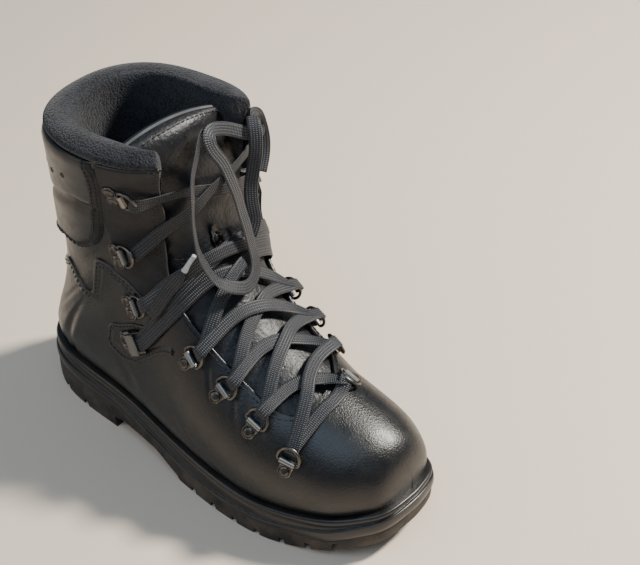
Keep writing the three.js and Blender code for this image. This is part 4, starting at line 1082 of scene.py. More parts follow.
# The scoop at the arch, the fuller toe and the style line: x, and millimetres or shares down
SCOOP_AT, SCOOP_HALF, SCOOP_DEPTH = 130, 34, 1.21
SCOOP_TOP = 0.3
TOE_BAND_FROM, TOE_BAND_RUN, TOE_BAND = 225, 40, 0.5
STYLE_X = [20, 90, 130, 190, 250, 285, 315]
STYLE_DOWN = [0.52, 0.56, 0.86, 0.80, 0.62, 0.44, 0.34]
STYLE_STEP, STYLE_GROOVE = 0.9, 1.1


def midsole_part():
    """Rings of the profile: share of the height down, share of the rim's width out."""
    rings = []
    x = outline[:, 0]
    toe_band = TOE_BAND * np.clip((x - TOE_BAND_FROM) / TOE_BAND_RUN, 0, 1)
    scoop_along = SCOOP_DEPTH * np.exp(-((x - SCOOP_AT) / SCOOP_HALF) ** 2)
    line_at = np.interp(x, STYLE_X, STYLE_DOWN)
    shares, widths = np.array(MIDSOLE_PROFILE).T
    for down in np.unique(np.concatenate([shares, np.linspace(SCOOP_TOP, 1, 36)])):
        out = np.interp(down, shares, widths)
        scoop = scoop_along * np.sin(np.pi * np.clip((down - SCOOP_TOP) / (1 - SCOOP_TOP), 0, 1))
        below = np.clip((down - line_at) / 0.05, 0, 1)
        style = STYLE_STEP * below - STYLE_GROOVE * np.exp(-((down - line_at) / 0.035) ** 2)
        style = style * np.clip((1 - down) / 0.06, 0, 1)
        shaped = RIM * out - scoop + toe_band * np.sin(np.pi * down) + style
        rings.append(outline_ring(shaped, lambda x, d=down: (
            edge_height(x) - 0.3 + (tread_top(x) - edge_height(x) + 0.3) * d)))
    return loft([cap_ring(rings[0], 0.25), *rings, cap_ring(rings[-1], 0.25)])


piece("midsole_rubber", [midsole_part()], rim_rubber, ["midsole"])


# %% [markdown]
# ### Lugs
#
# A rubber sole is moulded, so its lugs are what the mould's ribs leave. The plain block is lofted
# first and exact booleans, one for each cutter, take the arch, the slanted grooves and the two long
# channels out.

# %% Outsole
GROOVES = [0.075, 0.145, 0.215, 0.575, 0.635, 0.695, 0.755, 0.815, 0.875, 0.935]
CHANNELS = [(0.05, 0.31), (0.53, 0.93)]
CHANNEL_SPACING = 30.0
GROOVE_SLANT = 14.0
OUTSOLE_PROFILE = [(1.00, 0.0), (1.05, 0.12), (1.12, 0.35), (1.10, 0.6), (1.04, 0.86), (0.95, 1.0)]


def outsole_part():
    """Rings of the profile: share of the rim's width out, share of the height down."""
    rings = []
    for out, share in OUTSOLE_PROFILE:
        rings.append(outline_ring(RIM * out, lambda x, s=share: (
            tread_top(x) - 0.3 + (ground(x) - tread_top(x) + 0.3) * s)))
    return loft([cap_ring(rings[0], 0.2), *rings, cap_ring(rings[-1], 0.2)])


def box_part(length, width, depth, centre, turn_degrees):
    """A block of six faces, turned about z."""
    corner = np.array([[x, y, z] for x in (-0.5, 0.5) for y in (-0.5, 0.5) for z in (-0.5, 0.5)])
    corner = corner * [length, width, depth]
    c, s = math.cos(math.radians(turn_degrees)), math.sin(math.radians(turn_degrees))
    turned = corner @ np.array([[c, s, 0], [-s, c, 0], [0, 0, 1]]) + centre
    faces = np.array([
        [0, 1, 3, 2], [4, 6, 7, 5], [0, 4, 5, 1], [2, 3, 7, 6], [0, 2, 6, 4], [1, 5, 7, 3],
    ])
    return turned, faces, np.zeros((8, 2))


def across_part(profile, half_width, y=0.0):
    """A profile of (x, z) points carried straight across the sole."""
    profile = np.asarray(profile, dtype=float)
    left = np.column_stack([profile[:, 0], np.full(len(profile), y - half_width), profile[:, 1]])
    right = np.column_stack([profile[:, 0], np.full(len(profile), y + half_width), profile[:, 1]])
    half = len(profile) // 2
    pair = np.stack([np.arange(half), len(profile) - 1 - np.arange(half)], axis=-1)
    faces = grid(np.stack([left, right]), wrap_columns=True)[1]
    ends = np.stack([pair[:-1, 0], pair[1:, 0], pair[1:, 1], pair[:-1, 1]], axis=-1)
    faces = np.concatenate([faces, ends, ends[:, ::-1] + len(profile)])
    return np.concatenate([left, right]), faces, np.zeros((2 * len(profile), 2))


breast = 0.30 * SOLE_FRONT
tread = 0.53 * SOLE_FRONT
cutters = [across_part([
    (breast, -10), (breast - 2, ARCH_LIFT - 2), (breast + 6, ARCH_LIFT),
    (tread - 28, ARCH_LIFT), (tread - 6, 4), (tread, -10),
], 80)]
for groove in GROOVES:
    for side in (-1, 1):
        groove_x = groove * SOLE_FRONT
        place = np.array([groove_x, side * (CHANNEL_SPACING / 2 + 52.5), ground(groove_x)])
        cutters.append(box_part(LUG_GAP, 105, 2 * LUG_DEPTH, place, -side * GROOVE_SLANT))
for start, end in CHANNELS:
    for side in (-1, 1):
        run_x = np.linspace(start * SOLE_FRONT, end * SOLE_FRONT, 13)
        roof = np.column_stack([run_x, ground(run_x) + LUG_DEPTH])
        foot = np.column_stack([run_x, ground(run_x) - LUG_DEPTH])
        channel = np.concatenate([foot, roof[::-1]])
        cutters.append(across_part(channel, LUG_GAP / 2, side * CHANNEL_SPACING / 2))


def plain_object(name, part):
    """A loose object for a boolean, with its faces outwards."""
    mesh = bpy.data.meshes.new(name)
    mesh.from_pydata(to_frame(part[0]).tolist(), [], part[1].tolist())
    work = bmesh.new()
    work.from_mesh(mesh)
    bmesh.ops.recalc_face_normals(work, faces=work.faces)
    work.to_mesh(mesh)
    work.free()
    item = bpy.data.objects.new(name, mesh)
    bpy.context.scene.collection.objects.link(item)
    return item


outsole = piece("outsole_rubber", [outsole_part()], tread_rubber, ["outsole"])
cutter_objects = [plain_object(f"cutter_{n}", part) for n, part in enumerate(cutters)]
for cutter in cutter_objects:
    cut = outsole.modifiers.new("cut", "BOOLEAN")
    cut.operation = "DIFFERENCE"
    cut.solver = "EXACT"
    cut.object = cutter
bpy.context.view_layer.update()
evaluated = outsole.evaluated_get(bpy.context.evaluated_depsgraph_get())
cut_mesh = bpy.data.meshes.new_from_object(evaluated)
outsole.modifiers.clear()
outsole.data = cut_mesh
for cutter in cutter_objects:
    bpy.data.objects.remove(cutter)
sharpen(outsole, 28)
print("outsole", len(outsole.data.polygons), "faces")


# %% Insole
def insole_part():
    """A thin board whose edge is rounded, just inside the wall."""
    profile = [(-1.2, 0.2), (-0.5, 0.0), (0.0, 0.6), (0.0, 3.0), (-0.5, 3.8), (-1.4, 4.0)]
    rings = [outline_ring(d - WALL - 1.6, lambda x, h=h: edge_height(x) + h) for d, h in profile]
    return loft([cap_ring(rings[0], 0.2), *rings, cap_ring(rings[-1], 0.2)])


piece("insole_board", [insole_part()], insole_cloth, ["insole"])

# %% [markdown]
# ## Collar padding
#
# A knit roll over foam lines the collar and rises over the leather's edge. Its section is a closed
# curve through a few points given by depth from the wall and rise over the rim, carried round the
# collar from one front end to the other and thinner there.

# %% Collar padding
PADDING_THICKNESS = 14.0
PADDING_GAP = 0.8
PADDING_RISE = 7.0
PADDING_THIN = 0.35
# row, depth as a share of the thickness, rise as a share of the roll, reach over the rim
PADDING_SECTION = [
    (14.6, 0.05, 0, 0), (15.6, 0, 0, 0), (16.98, 0, 0, 0), (17, 0, 0.06, 3.4), (17, 0, 0.62, 3.8),
    (17, 0.25, 1.1, 0), (17, 0.7, 1.0, 0), (17, 1, 0.4, 0), (16.5, 1, 0, 0), (15.7, 0.9, 0, 0),
    (15, 0.6, 0, 0),
]
# share of the end section, millimetres beyond it
ROUND_END = [(0.02, 4.0), (0.4, 3.8), (0.7, 2.9), (0.88, 1.6), (0.97, 0.6)]


def padding_part():
    """The closed section at 170 stations round the collar, with round ends."""
    middle, half = float(throat_middle(17)), float(throat_half(17))
    turn = np.linspace(middle - half - 2, middle + half + 2 - 360, 170)
    angle = np.where(turn < -180, turn + 360, turn)
    share = np.clip((np.abs(angle) - half) / (90 - half), 0, 1)
    swell = PADDING_THIN + (1 - PADDING_THIN) * np.sin(share * np.pi / 2)
    control = []
    for row, depth, rise, over in PADDING_SECTION:
        inset = WALL + PADDING_GAP + depth * PADDING_THICKNESS * swell - over
        ring = skin(np.full_like(angle, row), angle, -inset)
        ring[:, 2] += rise * PADDING_RISE + (0.35 if over else 0)
        control.append(ring)
    control = np.array(control)
    flat = control.reshape(len(control), -1)
    smooth = catmull(flat, 5, closed=True).reshape(-1, len(angle), 3)
    ring_rows = np.transpose(smooth, (1, 0, 2))
    ends = []
    for ring, inner in ((ring_rows[0], ring_rows[1]), (ring_rows[-1], ring_rows[-2])):
        centre = ring.mean(axis=0)
        onwards = unit(centre - inner.mean(axis=0))
        ends.append(np.array([centre + (ring - centre) * s + onwards * d for s, d in ROUND_END]))
    return grid(np.concatenate([ends[0], ring_rows, ends[1][::-1]]), wrap_columns=True)


padding = piece("collar_roll", [padding_part()], collar_knit, ["collar_padding"])

# %% [markdown]
# ## Tongue
#
# The tongue is soft padded leather. It lies under the eyestays and then leans back into the collar,
# so its top edge shows its thickness. Its surface is the throat's skin pushed in, swelling in the
# middle, and blended towards the free top edge.

# %% Tongue
TONGUE_THICKNESS = 4.0
TONGUE_UNDERLAP = 7.0
TONGUE_HEIGHT = 254.0
TONGUE_LEAN = 42.0
TONGUE_HALF_WIDTH = 34.0
TONGUE_PUFF = 2.4
# row, inset below the skin, share of the puff, share of the lean
TONGUE = np.array([
    (3.9, 3.6, 0, 0), (4.5, 3.6, 0, 0), (5.2, 3.4, 0.8, 0), (6.2, 3.4, 1, 0), (7.4, 3.6, 1, 0),
    (8.6, 4.0, 1, 0), (10, 4.4, 0.8, 0), (11.4, 4.6, 0.5, 0), (12.6, 5, 0.4, 0.03),
    (13.8, 6, 0.4, 0.12), (14.8, 7, 0.4, 0.30), (15.8, 7, 0.4, 0.55), (16.6, 7, 0.4, 0.8),
    (17, 7, 0, 1),
])


def tongue_point(table, share, thickness, relief=0.0):
    """Point of the tongue: on the sunk skin, drawn towards the free top edge by the lean."""
    row, inset, puff, lean = (table[..., k] for k in range(4))
    half = np.interp(row, THROAT_ROW, THROAT_HALF) + TONGUE_UNDERLAP * (1 - lean)
    half = np.where(row < 4.6, 10 + TONGUE_UNDERLAP, half)
    angle = throat_middle(row) + share * half
    swell = TONGUE_PUFF * puff * (1 - share**2) ** 2
    lifted = swell - inset - thickness + relief
    on_skin = last_point(row, angle) + last_normal(row, angle) * lifted[..., None]
    free = np.stack([
        curve["top_x"](COLLAR_ROW) - TONGUE_LEAN + 6 * share - thickness + 0 * row,
        share * TONGUE_HALF_WIDTH + 0 * row,
        TONGUE_HEIGHT - 6 * share**2 + 0 * row,
    ], axis=-1)
    return on_skin + (free - on_skin) * lean[..., None]


# Row, rows gained across the half width, half width in rows, depth
TONGUE_FOLDS = [(12.9, 0.5, 0.22, 0.9), (14.2, -0.3, 0.25, 0.7)]


def tongue_part():
    """Front and back face of the tongue, the edge rounded by drawing the faces together."""
    smooth = catmull(TONGUE, 10)
    share = np.linspace(-1, 1, 64)[None, :]
    table = smooth[:, None, :]
    edge = np.clip((1 - np.abs(share)) / 0.05, 0, 1)
    top_edge = np.clip((17.0 - smooth[:, None, 0]) / 0.25, 0, 1)
    fullness = np.sqrt(edge * (2 - edge)) * np.sqrt(top_edge * (2 - top_edge))
    row = smooth[:, None, 0] + 0 * share
    pucker = 0.5 * np.sin(row * 9 + share * 3) * np.exp(-((np.abs(share) - 0.86) / 0.1) ** 2)
    fold = 0.0
    for at_row, slope, half, depth in TONGUE_FOLDS:
        fold = fold - depth * np.exp(-((row - at_row - slope * share) / half) ** 2)
    middle = TONGUE_THICKNESS / 2
    front = tongue_point(table, share, middle - middle * fullness, pucker + fold)
    back = tongue_point(table, share, middle + middle * fullness, 0 * row)
    uv = np.stack([share * 40 + 0 * row, row * 14], axis=-1)
    return slab(front, back, uv)


piece("tongue_leather", [tongue_part()], soft_leather, ["tongue"])


# %% Tongue's edge, seams, lining and keeper
def tongue_at(row, share, lift):
    """Point of the tongue's front face, with the fold's relief left out."""
    row, share = np.asarray(row, dtype=float), np.asarray(share, dtype=float)
    fine = catmull(TONGUE, 10)
    table = np.stack([row] + [np.interp(row, fine[:, 0], fine[:, k]) for k in (1, 2, 3)], axis=-1)
    return tongue_point(table, share, 0.0, lift)


def tongue_normal(row, share):
    """Outward direction of the front face, by steps across and along."""
    along = tongue_at(row + 0.05, share, 0.0) - tongue_at(row - 0.05, share, 0.0)
    across = tongue_at(row, share + 0.02, 0.0) - tongue_at(row, share - 0.02, 0.0)
    return unit(np.cross(across, along))


def along_tongue(points, steps, step, lift):
    """Places, heading and normal at even steps through (row, share) points on the tongue."""
    fine = catmull(points, steps)
    line = tongue_at(fine[:, 0], fine[:, 1], 0.0)
    even, _ = at_even_steps(line, np.concatenate([line, fine], axis=1), step)
    normal = tongue_normal(even[:, 3], even[:, 4])
    centres = even[:, :3] + normal * lift
    return centres, unit(np.gradient(centres, axis=0)), normal


def tongue_stitches(points, lift):
    """Stitches along a curve on the tongue."""
    return capsule_run(*along_tongue(points, 30, STITCH_PITCH, lift), STITCH_LENGTH, STITCH_RADIUS)


def tube_rings(line, side, up, wide, high, count):
    """Rings of an ellipse carried along a line; its radii may change along the way."""
    turn = np.linspace(0, 2 * np.pi, count, endpoint=False)[None, :, None]
    wide, high = (np.broadcast_to(r, len(line))[:, None, None] for r in (wide, high))
    across = wide * np.cos(turn) * side[:, None, :]
    return line[:, None, :] + across + high * np.sin(turn) * up[:, None, :]


def tongue_welt(points, radius, lift):
    """A round cord along the tongue: its raw edge."""
    centres, ahead, normal = along_tongue(points, 24, 1.2, lift)
    return loft(tube_rings(centres, np.cross(ahead, normal), normal, radius, radius, 12))


RAW_EDGE_RADIUS = 1.5
TOP_EDGE = [(16.97, share) for share in (-0.97, -0.6, -0.2, 0.2, 0.6, 0.97)]
TOP_SEAM = [(16.35, -0.93), (16.45, -0.6), (16.5, -0.2), (16.5, 0.2), (16.45, 0.6), (16.35, 0.93)]
CURVED_SEAM = [(10.9, -0.72), (10.3, -0.45), (9.75, -0.15), (9.6, 0.2), (9.85, 0.5), (10.4, 0.75)]
raw_leather = leather_material("raw_cut_edge", 0x38393B, 0x66676A, (0.75, 0.95), 0.9, 0.3)
piece("tongue_raw_edge", [tongue_welt(TOP_EDGE, RAW_EDGE_RADIUS, -0.8)], raw_leather)
piece("tongue_stitching", [
    tongue_stitches(TOP_SEAM, 0.35), tongue_stitches(CURVED_SEAM, 0.45),
    tongue_stitches([(row - 0.22, share) for row, share in CURVED_SEAM], 0.45),
], bonded_thread, merge=0.0005)


def tongue_lining():
    """Brushed cloth on the back of the tongue's leaning part."""
    row = np.linspace(11.5, 16.9, 60)[:, None]
    share = np.linspace(-0.86, 0.86, 40)[None, :]
    row, share = row + 0 * share, share + 0 * row
    back = tongue_at(row, share, 0.0)
    normal = tongue_normal(row, share)
    deep = back - normal * (TONGUE_THICKNESS - 0.2)
    return slab(deep, deep - normal * 0.9)


piece("tongue_lining", [tongue_lining()], lining_cloth)

# %% [markdown]
# ## Lacing hardware
#
# Seven rings and one flat hook a side. A clip is a strip of blackened steel that is folded round
# the ring's bar and held by one or two domed rivets. Each stands in a frame on the skin: x towards
# its ring, z outwards, and its lift is read from the CAD node that it replaces.

# %% Sizes and frames of the hardware
RIVET_RADIUS = 4.6
PLATE = 1.0
CLIP_WIDTH = 10.0
CLIP_BORE = 1.5
WIRE_RADIUS = 1.1
RING_HALF_WIDTH = 7.5
RING_DEPTH = 11.0
RIVET_SPACING = 9.0
RING_TILT = 12.0
LOCK_WIDTH = 15.0
LOCK_LENGTH = 13.0
LOCK_SLOT = 3.0
LOCK_BEND = 1.2
BAR_RADIUS = CLIP_BORE + PLATE
BAR_X = RIVET_RADIUS + BAR_RADIUS + 0.4

# name, rivets' row and degrees, ring's row and degrees, number of rivets, degrees by which the
# medial copy sits nearer the ridge
LACING = [
    ("1", 4.29, 59, 4.25, 45, 1, 22), ("2", 5.34, 53, 5.22, 42, 1, 5),
    ("3", 6.52, 54, 6.27, 44, 1, 0), ("4", 7.86, 58, 7.59, 48, 1, 0),
    ("lock", 9.86, 83.5, 9.40, 72, 2, 0),
    ("5", 10.65, 68.5, 10.25, 57, 2, 0), ("6", 13.20, 71.5, 12.75, 55, 2, 0),
    ("7", 15.88, 72, 15.75, 56, 2, 0),
]


def lift_of(node, seat, up):
    """How far the lowest corner of a CAD node stands over a seat, in millimetres."""
    mesh = frame["nodes"][node].data
    corners = np.empty(len(mesh.vertices) * 3)
    mesh.vertices.foreach_get("co", corners)
    corners = (corners.reshape(-1, 3) - ORIGIN) / MM
    return float(np.min((corners - seat) @ up))


def seat_frame(entry, side, node):
    """Axes and origin on the leather, lifted to the underside of the CAD node."""
    _, rivet_row, rivet_angle, ring_row, ring_angle, _, inward = entry
    turn_in = inward if side > 0 else 0
    at_rivet = throat_middle(rivet_row) + side * (rivet_angle - turn_in)
    at_ring = throat_middle(ring_row) + side * (ring_angle - turn_in)
    normal = last_normal(rivet_row, at_rivet)
    seat = last_point(rivet_row, at_rivet)
    aim = last_point(ring_row, at_ring) - seat
    along = unit(aim - normal * np.dot(aim, normal))
    axes = np.stack([along, np.cross(normal, along), normal])
    return axes, seat + normal * lift_of(node, seat, normal)


def carried(path, half_widths, thickness):
    """A flat strip carried along a path in the x-z plane, its corners slightly rounded."""
    path = np.asarray(path, dtype=float)
    ahead = unit(np.gradient(path, axis=0))
    normal = np.stack([-ahead[:, 1], ahead[:, 0]], axis=-1)
    r = 0.25
    corner = [(-1, -r, 0.5, 0), (-1, 0, 0.5, -r), (1, 0, 0.5, -r), (1, -r, 0.5, 0),
              (1, -r, -0.5, 0), (1, 0, -0.5, r), (-1, 0, -0.5, r), (-1, -r, -0.5, 0)]
    rings = []
    for sign, inner, level, lower in corner:
        y = sign * (half_widths + inner)
        x, z = (path + normal * (level * thickness + lower)).T
        rings.append(np.column_stack([x, y, z]))
    return loft(np.transpose(np.array(rings), (1, 0, 2)))


RIVET_PROFILE = [
    (0.0, 0.0), (4.3, 0.0), (4.6, 0.3), (4.6, 0.85), (4.35, 1.25), (3.9, 1.4), (3.55, 1.3),
    (3.35, 1.45), (2.9, 1.85), (2.0, 2.12), (1.0, 2.2), (0.0, 2.22),
]


def arc(x, z, radius, start, end, count):
    """Points of an arc between two angles in degrees."""
    turn = np.radians(np.linspace(start, end, count))
    return np.array([x, z]) + radius * np.column_stack([np.cos(turn), np.sin(turn)])


def clip_parts(rivets):
    """Plate, fold round the bar and domed rivets of one clip."""
    fold = arc(BAR_X, BAR_RADIUS, CLIP_BORE + PLATE / 2, -90, 118, 18)
    strip = np.linspace(fold[-1], (RIVET_RADIUS - 0.4, PLATE * 1.45), 5)[1:]
    fold = np.concatenate([fold, strip])
    tail = -RIVET_RADIUS * 0.7
    flat_x = np.linspace(tail, BAR_X - 0.3, 16)
    flat = np.column_stack([flat_x, np.full(16, PLATE / 2)])
    spread = RIVET_SPACING / 2 + 4.2 if rivets > 1 else RIVET_RADIUS - 0.2
    narrow = np.clip((flat_x - RIVET_RADIUS * 0.4) / 3.2, 0, 1)
    wide = spread * (1 - narrow) + CLIP_WIDTH / 2 * narrow
    wide[:2] *= [0.8, 0.94]
    widths = np.concatenate([wide, np.full(len(fold), CLIP_WIDTH / 2 + 0.4)])
    parts = [carried(np.concatenate([flat, fold]), widths, PLATE)]
    places = [-RIVET_SPACING / 2, RIVET_SPACING / 2] if rivets > 1 else [0.0]
    parts += [lathe(RIVET_PROFILE, 0.0, y) for y in places]
    return parts


def ring_part():
    """Round wire on a D: a straight bar, two corners and a bow, as a closed smooth curve."""
    half = RING_HALF_WIDTH
    bow = [(0, half - 2.2), (0.5, half - 0.5), (2.4, half), (6.0, half * 0.93), (9.0, half * 0.66),
           (RING_DEPTH, half * 0.2)]
    control = [(0, 0), *bow, *((x, -y) for x, y in reversed(bow))]
    flat = catmull(control, 5, closed=True)
    line = np.column_stack([flat, np.zeros(len(flat))])
    ahead = unit(np.roll(line, -1, axis=0) - np.roll(line, 1, axis=0))
    upright = np.broadcast_to(np.array([0.0, 0.0, 1.0]), line.shape)
    points = tube_rings(line, np.cross(ahead, upright), upright, WIRE_RADIUS, WIRE_RADIUS, 12)
    tilt = math.radians(RING_TILT)
    turned = np.stack([
        points[..., 0] * math.cos(tilt) - points[..., 2] * math.sin(tilt) + BAR_X,
        points[..., 1],
        points[..., 0] * math.sin(tilt) + points[..., 2] * math.cos(tilt) + BAR_RADIUS,
    ], axis=-1)
    return grid(turned, wrap_rows=True, wrap_columns=True)


def lock_parts():
    """The flat hook: a plate with two rivets, folded back over a slot."""
    back = RIVET_RADIUS + 0.6
    front = back + LOCK_LENGTH
    roof = PLATE + LOCK_SLOT + PLATE / 2
    bend_x = back + PLATE / 2 + LOCK_BEND
    path = np.concatenate([
        [(front, PLATE / 2), (back + 6, PLATE / 2)],
        arc(bend_x, PLATE / 2 + LOCK_BEND, LOCK_BEND, -90, -180, 6),
        arc(bend_x, roof - LOCK_BEND, LOCK_BEND, 180, 90, 6),
        [(back + 6, roof), (front - 3, roof), (front - 2, roof + 0.5)],
    ])
    half = np.full(len(path), LOCK_WIDTH / 2)
    half[-1] *= 0.86
    plate_x = np.linspace(-RIVET_RADIUS, back + 2, 10)
    plate_path = np.column_stack([plate_x, np.full(10, PLATE / 2 + 0.02)])
    plate_half = np.full(10, RIVET_SPACING / 2 + RIVET_RADIUS - 0.2)
    plate_half[:2] *= [0.75, 0.93]
    parts = [carried(path, half, PLATE), carried(plate_path, plate_half, PLATE * 0.98)]
    parts += [lathe(RIVET_PROFILE, 0.0, y) for y in (-RIVET_SPACING / 2, RIVET_SPACING / 2)]
    return parts


def keeper_parts():
    """The tongue's keeper: a tapered plate with one rivet and a small bright tab folded over."""
    tail = -RIVET_RADIUS - 0.6
    plate_x = np.linspace(tail, tail + 13, 14)
    half = np.interp(plate_x, [tail, tail + 13], [4.5, 2.7])
    half[[0, -1]] *= 0.85
    tab = [(6.0, 1.1), (7.4, 1.5), (8.6, 1.9), (9.4, 1.5), (9.2, 0.9)]
    return [
        carried(np.column_stack([plate_x, np.full(14, PLATE / 2)]), half, PLATE),
        carried(catmull(tab, 4), np.full(17, 2.1), 0.7),
        lathe(RIVET_PROFILE, 0.0, 0.0),
    ]


# %% Every clip, ring and hook in its place
seats = {}
for side_name, side in (("lateral", -1), ("medial", 1)):
    for entry in LACING:
        name, rivets = entry[0], entry[5]
        if name == "lock":
            node = f"lace_lock_{side_name}"
            seat = seat_frame(entry, side, node)
            item = piece(f"hook_{side_name}", [placed(p, seat) for p in lock_parts()],
                         blackened_steel, [node])
        else:
            node = f"ring_clip_{side_name}_{name}"
            seat = seat_frame(entry, side, node)
            item = piece(f"clip_{side_name}_{name}", [placed(p, seat) for p in clip_parts(rivets)],
                         blackened_steel, [node])
            piece(f"ring_{side_name}_{name}", [placed(ring_part(), seat)],
                  blackened_steel, [f"d_ring_{side_name}_{name}"])
        sharpen(item, 50)
        seats[(name, side)] = seat

KEEPER_ROW = 10.45
KEEPER_SHARE = 0.1
keeper_seat = tongue_at(KEEPER_ROW, KEEPER_SHARE, 0.0)
keeper_along = unit(tongue_at(KEEPER_ROW + 0.6, KEEPER_SHARE, 0.0) - keeper_seat)
keeper_aside = tongue_at(KEEPER_ROW, KEEPER_SHARE + 0.15, 0.0) - keeper_seat
keeper_up = unit(np.cross(keeper_along, keeper_aside))
keeper_up = keeper_up * np.sign(keeper_up[0])
keeper_axes = np.stack([keeper_along, np.cross(keeper_up, keeper_along), keeper_up])
keeper_lift = lift_of("tongue_keeper", keeper_seat, keeper_up)
print("keeper stands", round(keeper_lift, 2), "mm over the tongue's middle line")
keeper = piece("keeper_plate", [
    placed(part, (keeper_axes, keeper_seat + keeper_up * keeper_lift)) for part in keeper_parts()
], blackened_steel, ["tongue_keeper"])
sharpen(keeper, 50)


# %% [markdown]
# ## Lace
#
# The lace is a flat woven band with five ribs. Its section is carried along each run: out of one
# ring from under its bow, over the tongue with some slack, over the bow of the next ring on the
# other side and down into it.

# %% Lace section and runs
def lace_section():
    """Closed flat section: ribs on both faces, round edges."""
    across = np.linspace(-1, 1, 4 * LACE_RIBS + 1)
    rib = 0.62 + 0.38 * np.abs(np.cos(across * np.pi * LACE_RIBS / 2))
    thin = np.sqrt(np.clip(1 - across**6, 0, 1))
    half = LACE_THICKNESS / 2 * rib * thin
    upper_face = np.column_stack([across * LACE_WIDTH / 2, half])
    lower_face = np.column_stack([across * LACE_WIDTH / 2, -half])[::-1][1:-1]
    return np.concatenate([upper_face, lower_face])


SECTION = lace_section()
TOWARDS_TOE = np.array([0.6, -0.5, 0.6])
TOWARDS_MEDIAL = np.array([0.67, 0.73, 0.17])


def relaxed(values, times):
    """Each point moved to the mean of itself and its neighbours; the ends stay."""
    for _ in range(times):
        values[1:-1] = (values[:-2] + 2 * values[1:-1] + values[2:]) / 4
    return values


RELAXED = 6


def lace_run(points, facing, step=2.0, narrow=None):
    """The section carried along a smooth curve, its flat side towards the facing vectors."""
    both = catmull(np.column_stack([np.asarray(points, float), np.asarray(facing, float)]), 14)
    even, run = at_even_steps(both[:, :3], both, step)
    even = relaxed(even, RELAXED)
    line, face = even[:, :3], even[:, 3:]
    ahead = unit(np.gradient(line, axis=0))
    side = unit(np.cross(ahead, face))
    up = np.cross(side, ahead)
    shares, widths = narrow if narrow else ([0, 1], [1, 1])
    width = np.interp(np.linspace(0, 1, len(line)), shares, widths)
    rings = (line[:, None, :] + SECTION[None, :, :1] * side[:, None, :] * width[:, None, None]
             + SECTION[None, :, 1:] * up[:, None, :])
    uv = np.stack([np.broadcast_to(SECTION[:, 0], rings.shape[:2]),
                   np.broadcast_to(run[:, None], rings.shape[:2])], axis=-1)
    return loft(rings, uv), line


def ring_spots(name, side):
    """Inside the ring, under its bow and over its bow, with the ring's outward direction."""
    axes, origin = seats[(name, side)]
    tilt = math.radians(RING_TILT)
    if name == "lock":
        local = [(RIVET_RADIUS + along, 0, PLATE + LOCK_SLOT / 2) for along in (4, 9, 16)]
    else:
        bow = np.array([math.cos(tilt), 0, math.sin(tilt)]) * RING_DEPTH + (BAR_X, 0, BAR_RADIUS)
        local = [(BAR_X + 6.5, 0, bow[2] - 1.4), bow + (0.6, 0, -2.0), bow + (0.4, 0, 2.0)]
    return [np.asarray(p, dtype=float) @ axes + origin for p in local], axes[2]


# Rings above the first row have the throat's edge in front of them; above the second, the lace
# turns its flat side towards the toe
EDGE_FROM_ROW = 9
TURNED_FROM_ROW = 12
EDGE_SHARE = 0.15
EDGE_LIFT = 2.4


def over_edge(entry, side, other_row):
    """Point and direction over the throat's edge, in front of a ring above the instep."""
    row = entry[3] + EDGE_SHARE * (other_row - entry[3])
    angle = throat_middle(row) + side * (throat_half(row) + 1.0)
    return skin(row, angle, EDGE_LIFT), last_normal(row, angle)


def crossing(from_name, from_side, to_name, to_side, lift, bow=0.0):
    """One run from ring to ring over the tongue."""
    start, start_up = ring_spots(from_name, from_side)
    end, end_up = ring_spots(to_name, to_side)
    from_row, to_row = LACING_BY_NAME[from_name][3], LACING_BY_NAME[to_name][3]
    if to_row > TURNED_FROM_ROW:
        start_up = start_up + TOWARDS_TOE
        end_up = end_up + TOWARDS_TOE
    stops = [(start[0], start_up), (start[1], start_up)]
    if from_row > EDGE_FROM_ROW:
        stops.append(over_edge(LACING_BY_NAME[from_name], from_side, to_row))
    for share in (0.25, 0.5, 0.75):
        row = from_row + (to_row - from_row) * share
        angle = (throat_middle(row) + (from_side + (to_side - from_side) * share)
                 * np.interp(row, THROAT_ROW, THROAT_HALF) * 0.92)
        high = lift if share == 0.5 else lift * 0.9
        place = skin(row + bow * math.sin(math.pi * share), angle, high)
        stops.append((place, last_normal(row, angle)))
    if to_row > EDGE_FROM_ROW:
        stops.append(over_edge(LACING_BY_NAME[to_name], to_side, from_row))
    stops += [(end[2], end_up), (end[0] + (end[2] - end[1]) * 0.2, end_up)]
    return lace_run(*zip(*stops))[0]


LACING_BY_NAME = {entry[0]: entry for entry in LACING}

# from ring and side, to ring and side, height over the skin, bow along the rows
CROSSINGS = [
    ("1", -1, "1", 1, 2.6, -0.15), ("1", 1, "2", -1, 3.6, 0.05), ("1", -1, "2", 1, 6.0, 0.10),
    ("2", -1, "3", 1, 6.2, 0.05), ("2", 1, "3", -1, 3.8, 0.12), ("3", -1, "4", 1, 3.8, 0.05),
    ("3", 1, "4", -1, 6.2, 0.10), ("4", -1, "lock", 1, 6.0, 0.1), ("4", 1, "lock", -1, 3.8, 0.1),
    ("lock", -1, "5", 1, 4.0, 0.0), ("lock", 1, "5", -1, 6.2, 0.0),
    ("5", -1, "5", 1, 3.4, -0.5), ("6", 1, "7", -1, 2.6, 0.0), ("6", -1, "7", 1, 4.6, 0.0),
]
lace_parts = [crossing(*entry) for entry in CROSSINGS]
piece("lace_crisscross", lace_parts, woven_lace, ["lace_crossings"])

# %% [markdown]
# ### The lace's free parts
#
# Above the instep the lace is slack. One loop comes from the inner side, folds over the tongue and
# hangs down over the instep; a second fold is gathered at the inner side; and the tipped end stands
# out of the fifth ring. A soft flat lace bends easily across its thickness, so each path is a
# smooth curve through listed points, and each point says which way the flat side faces.

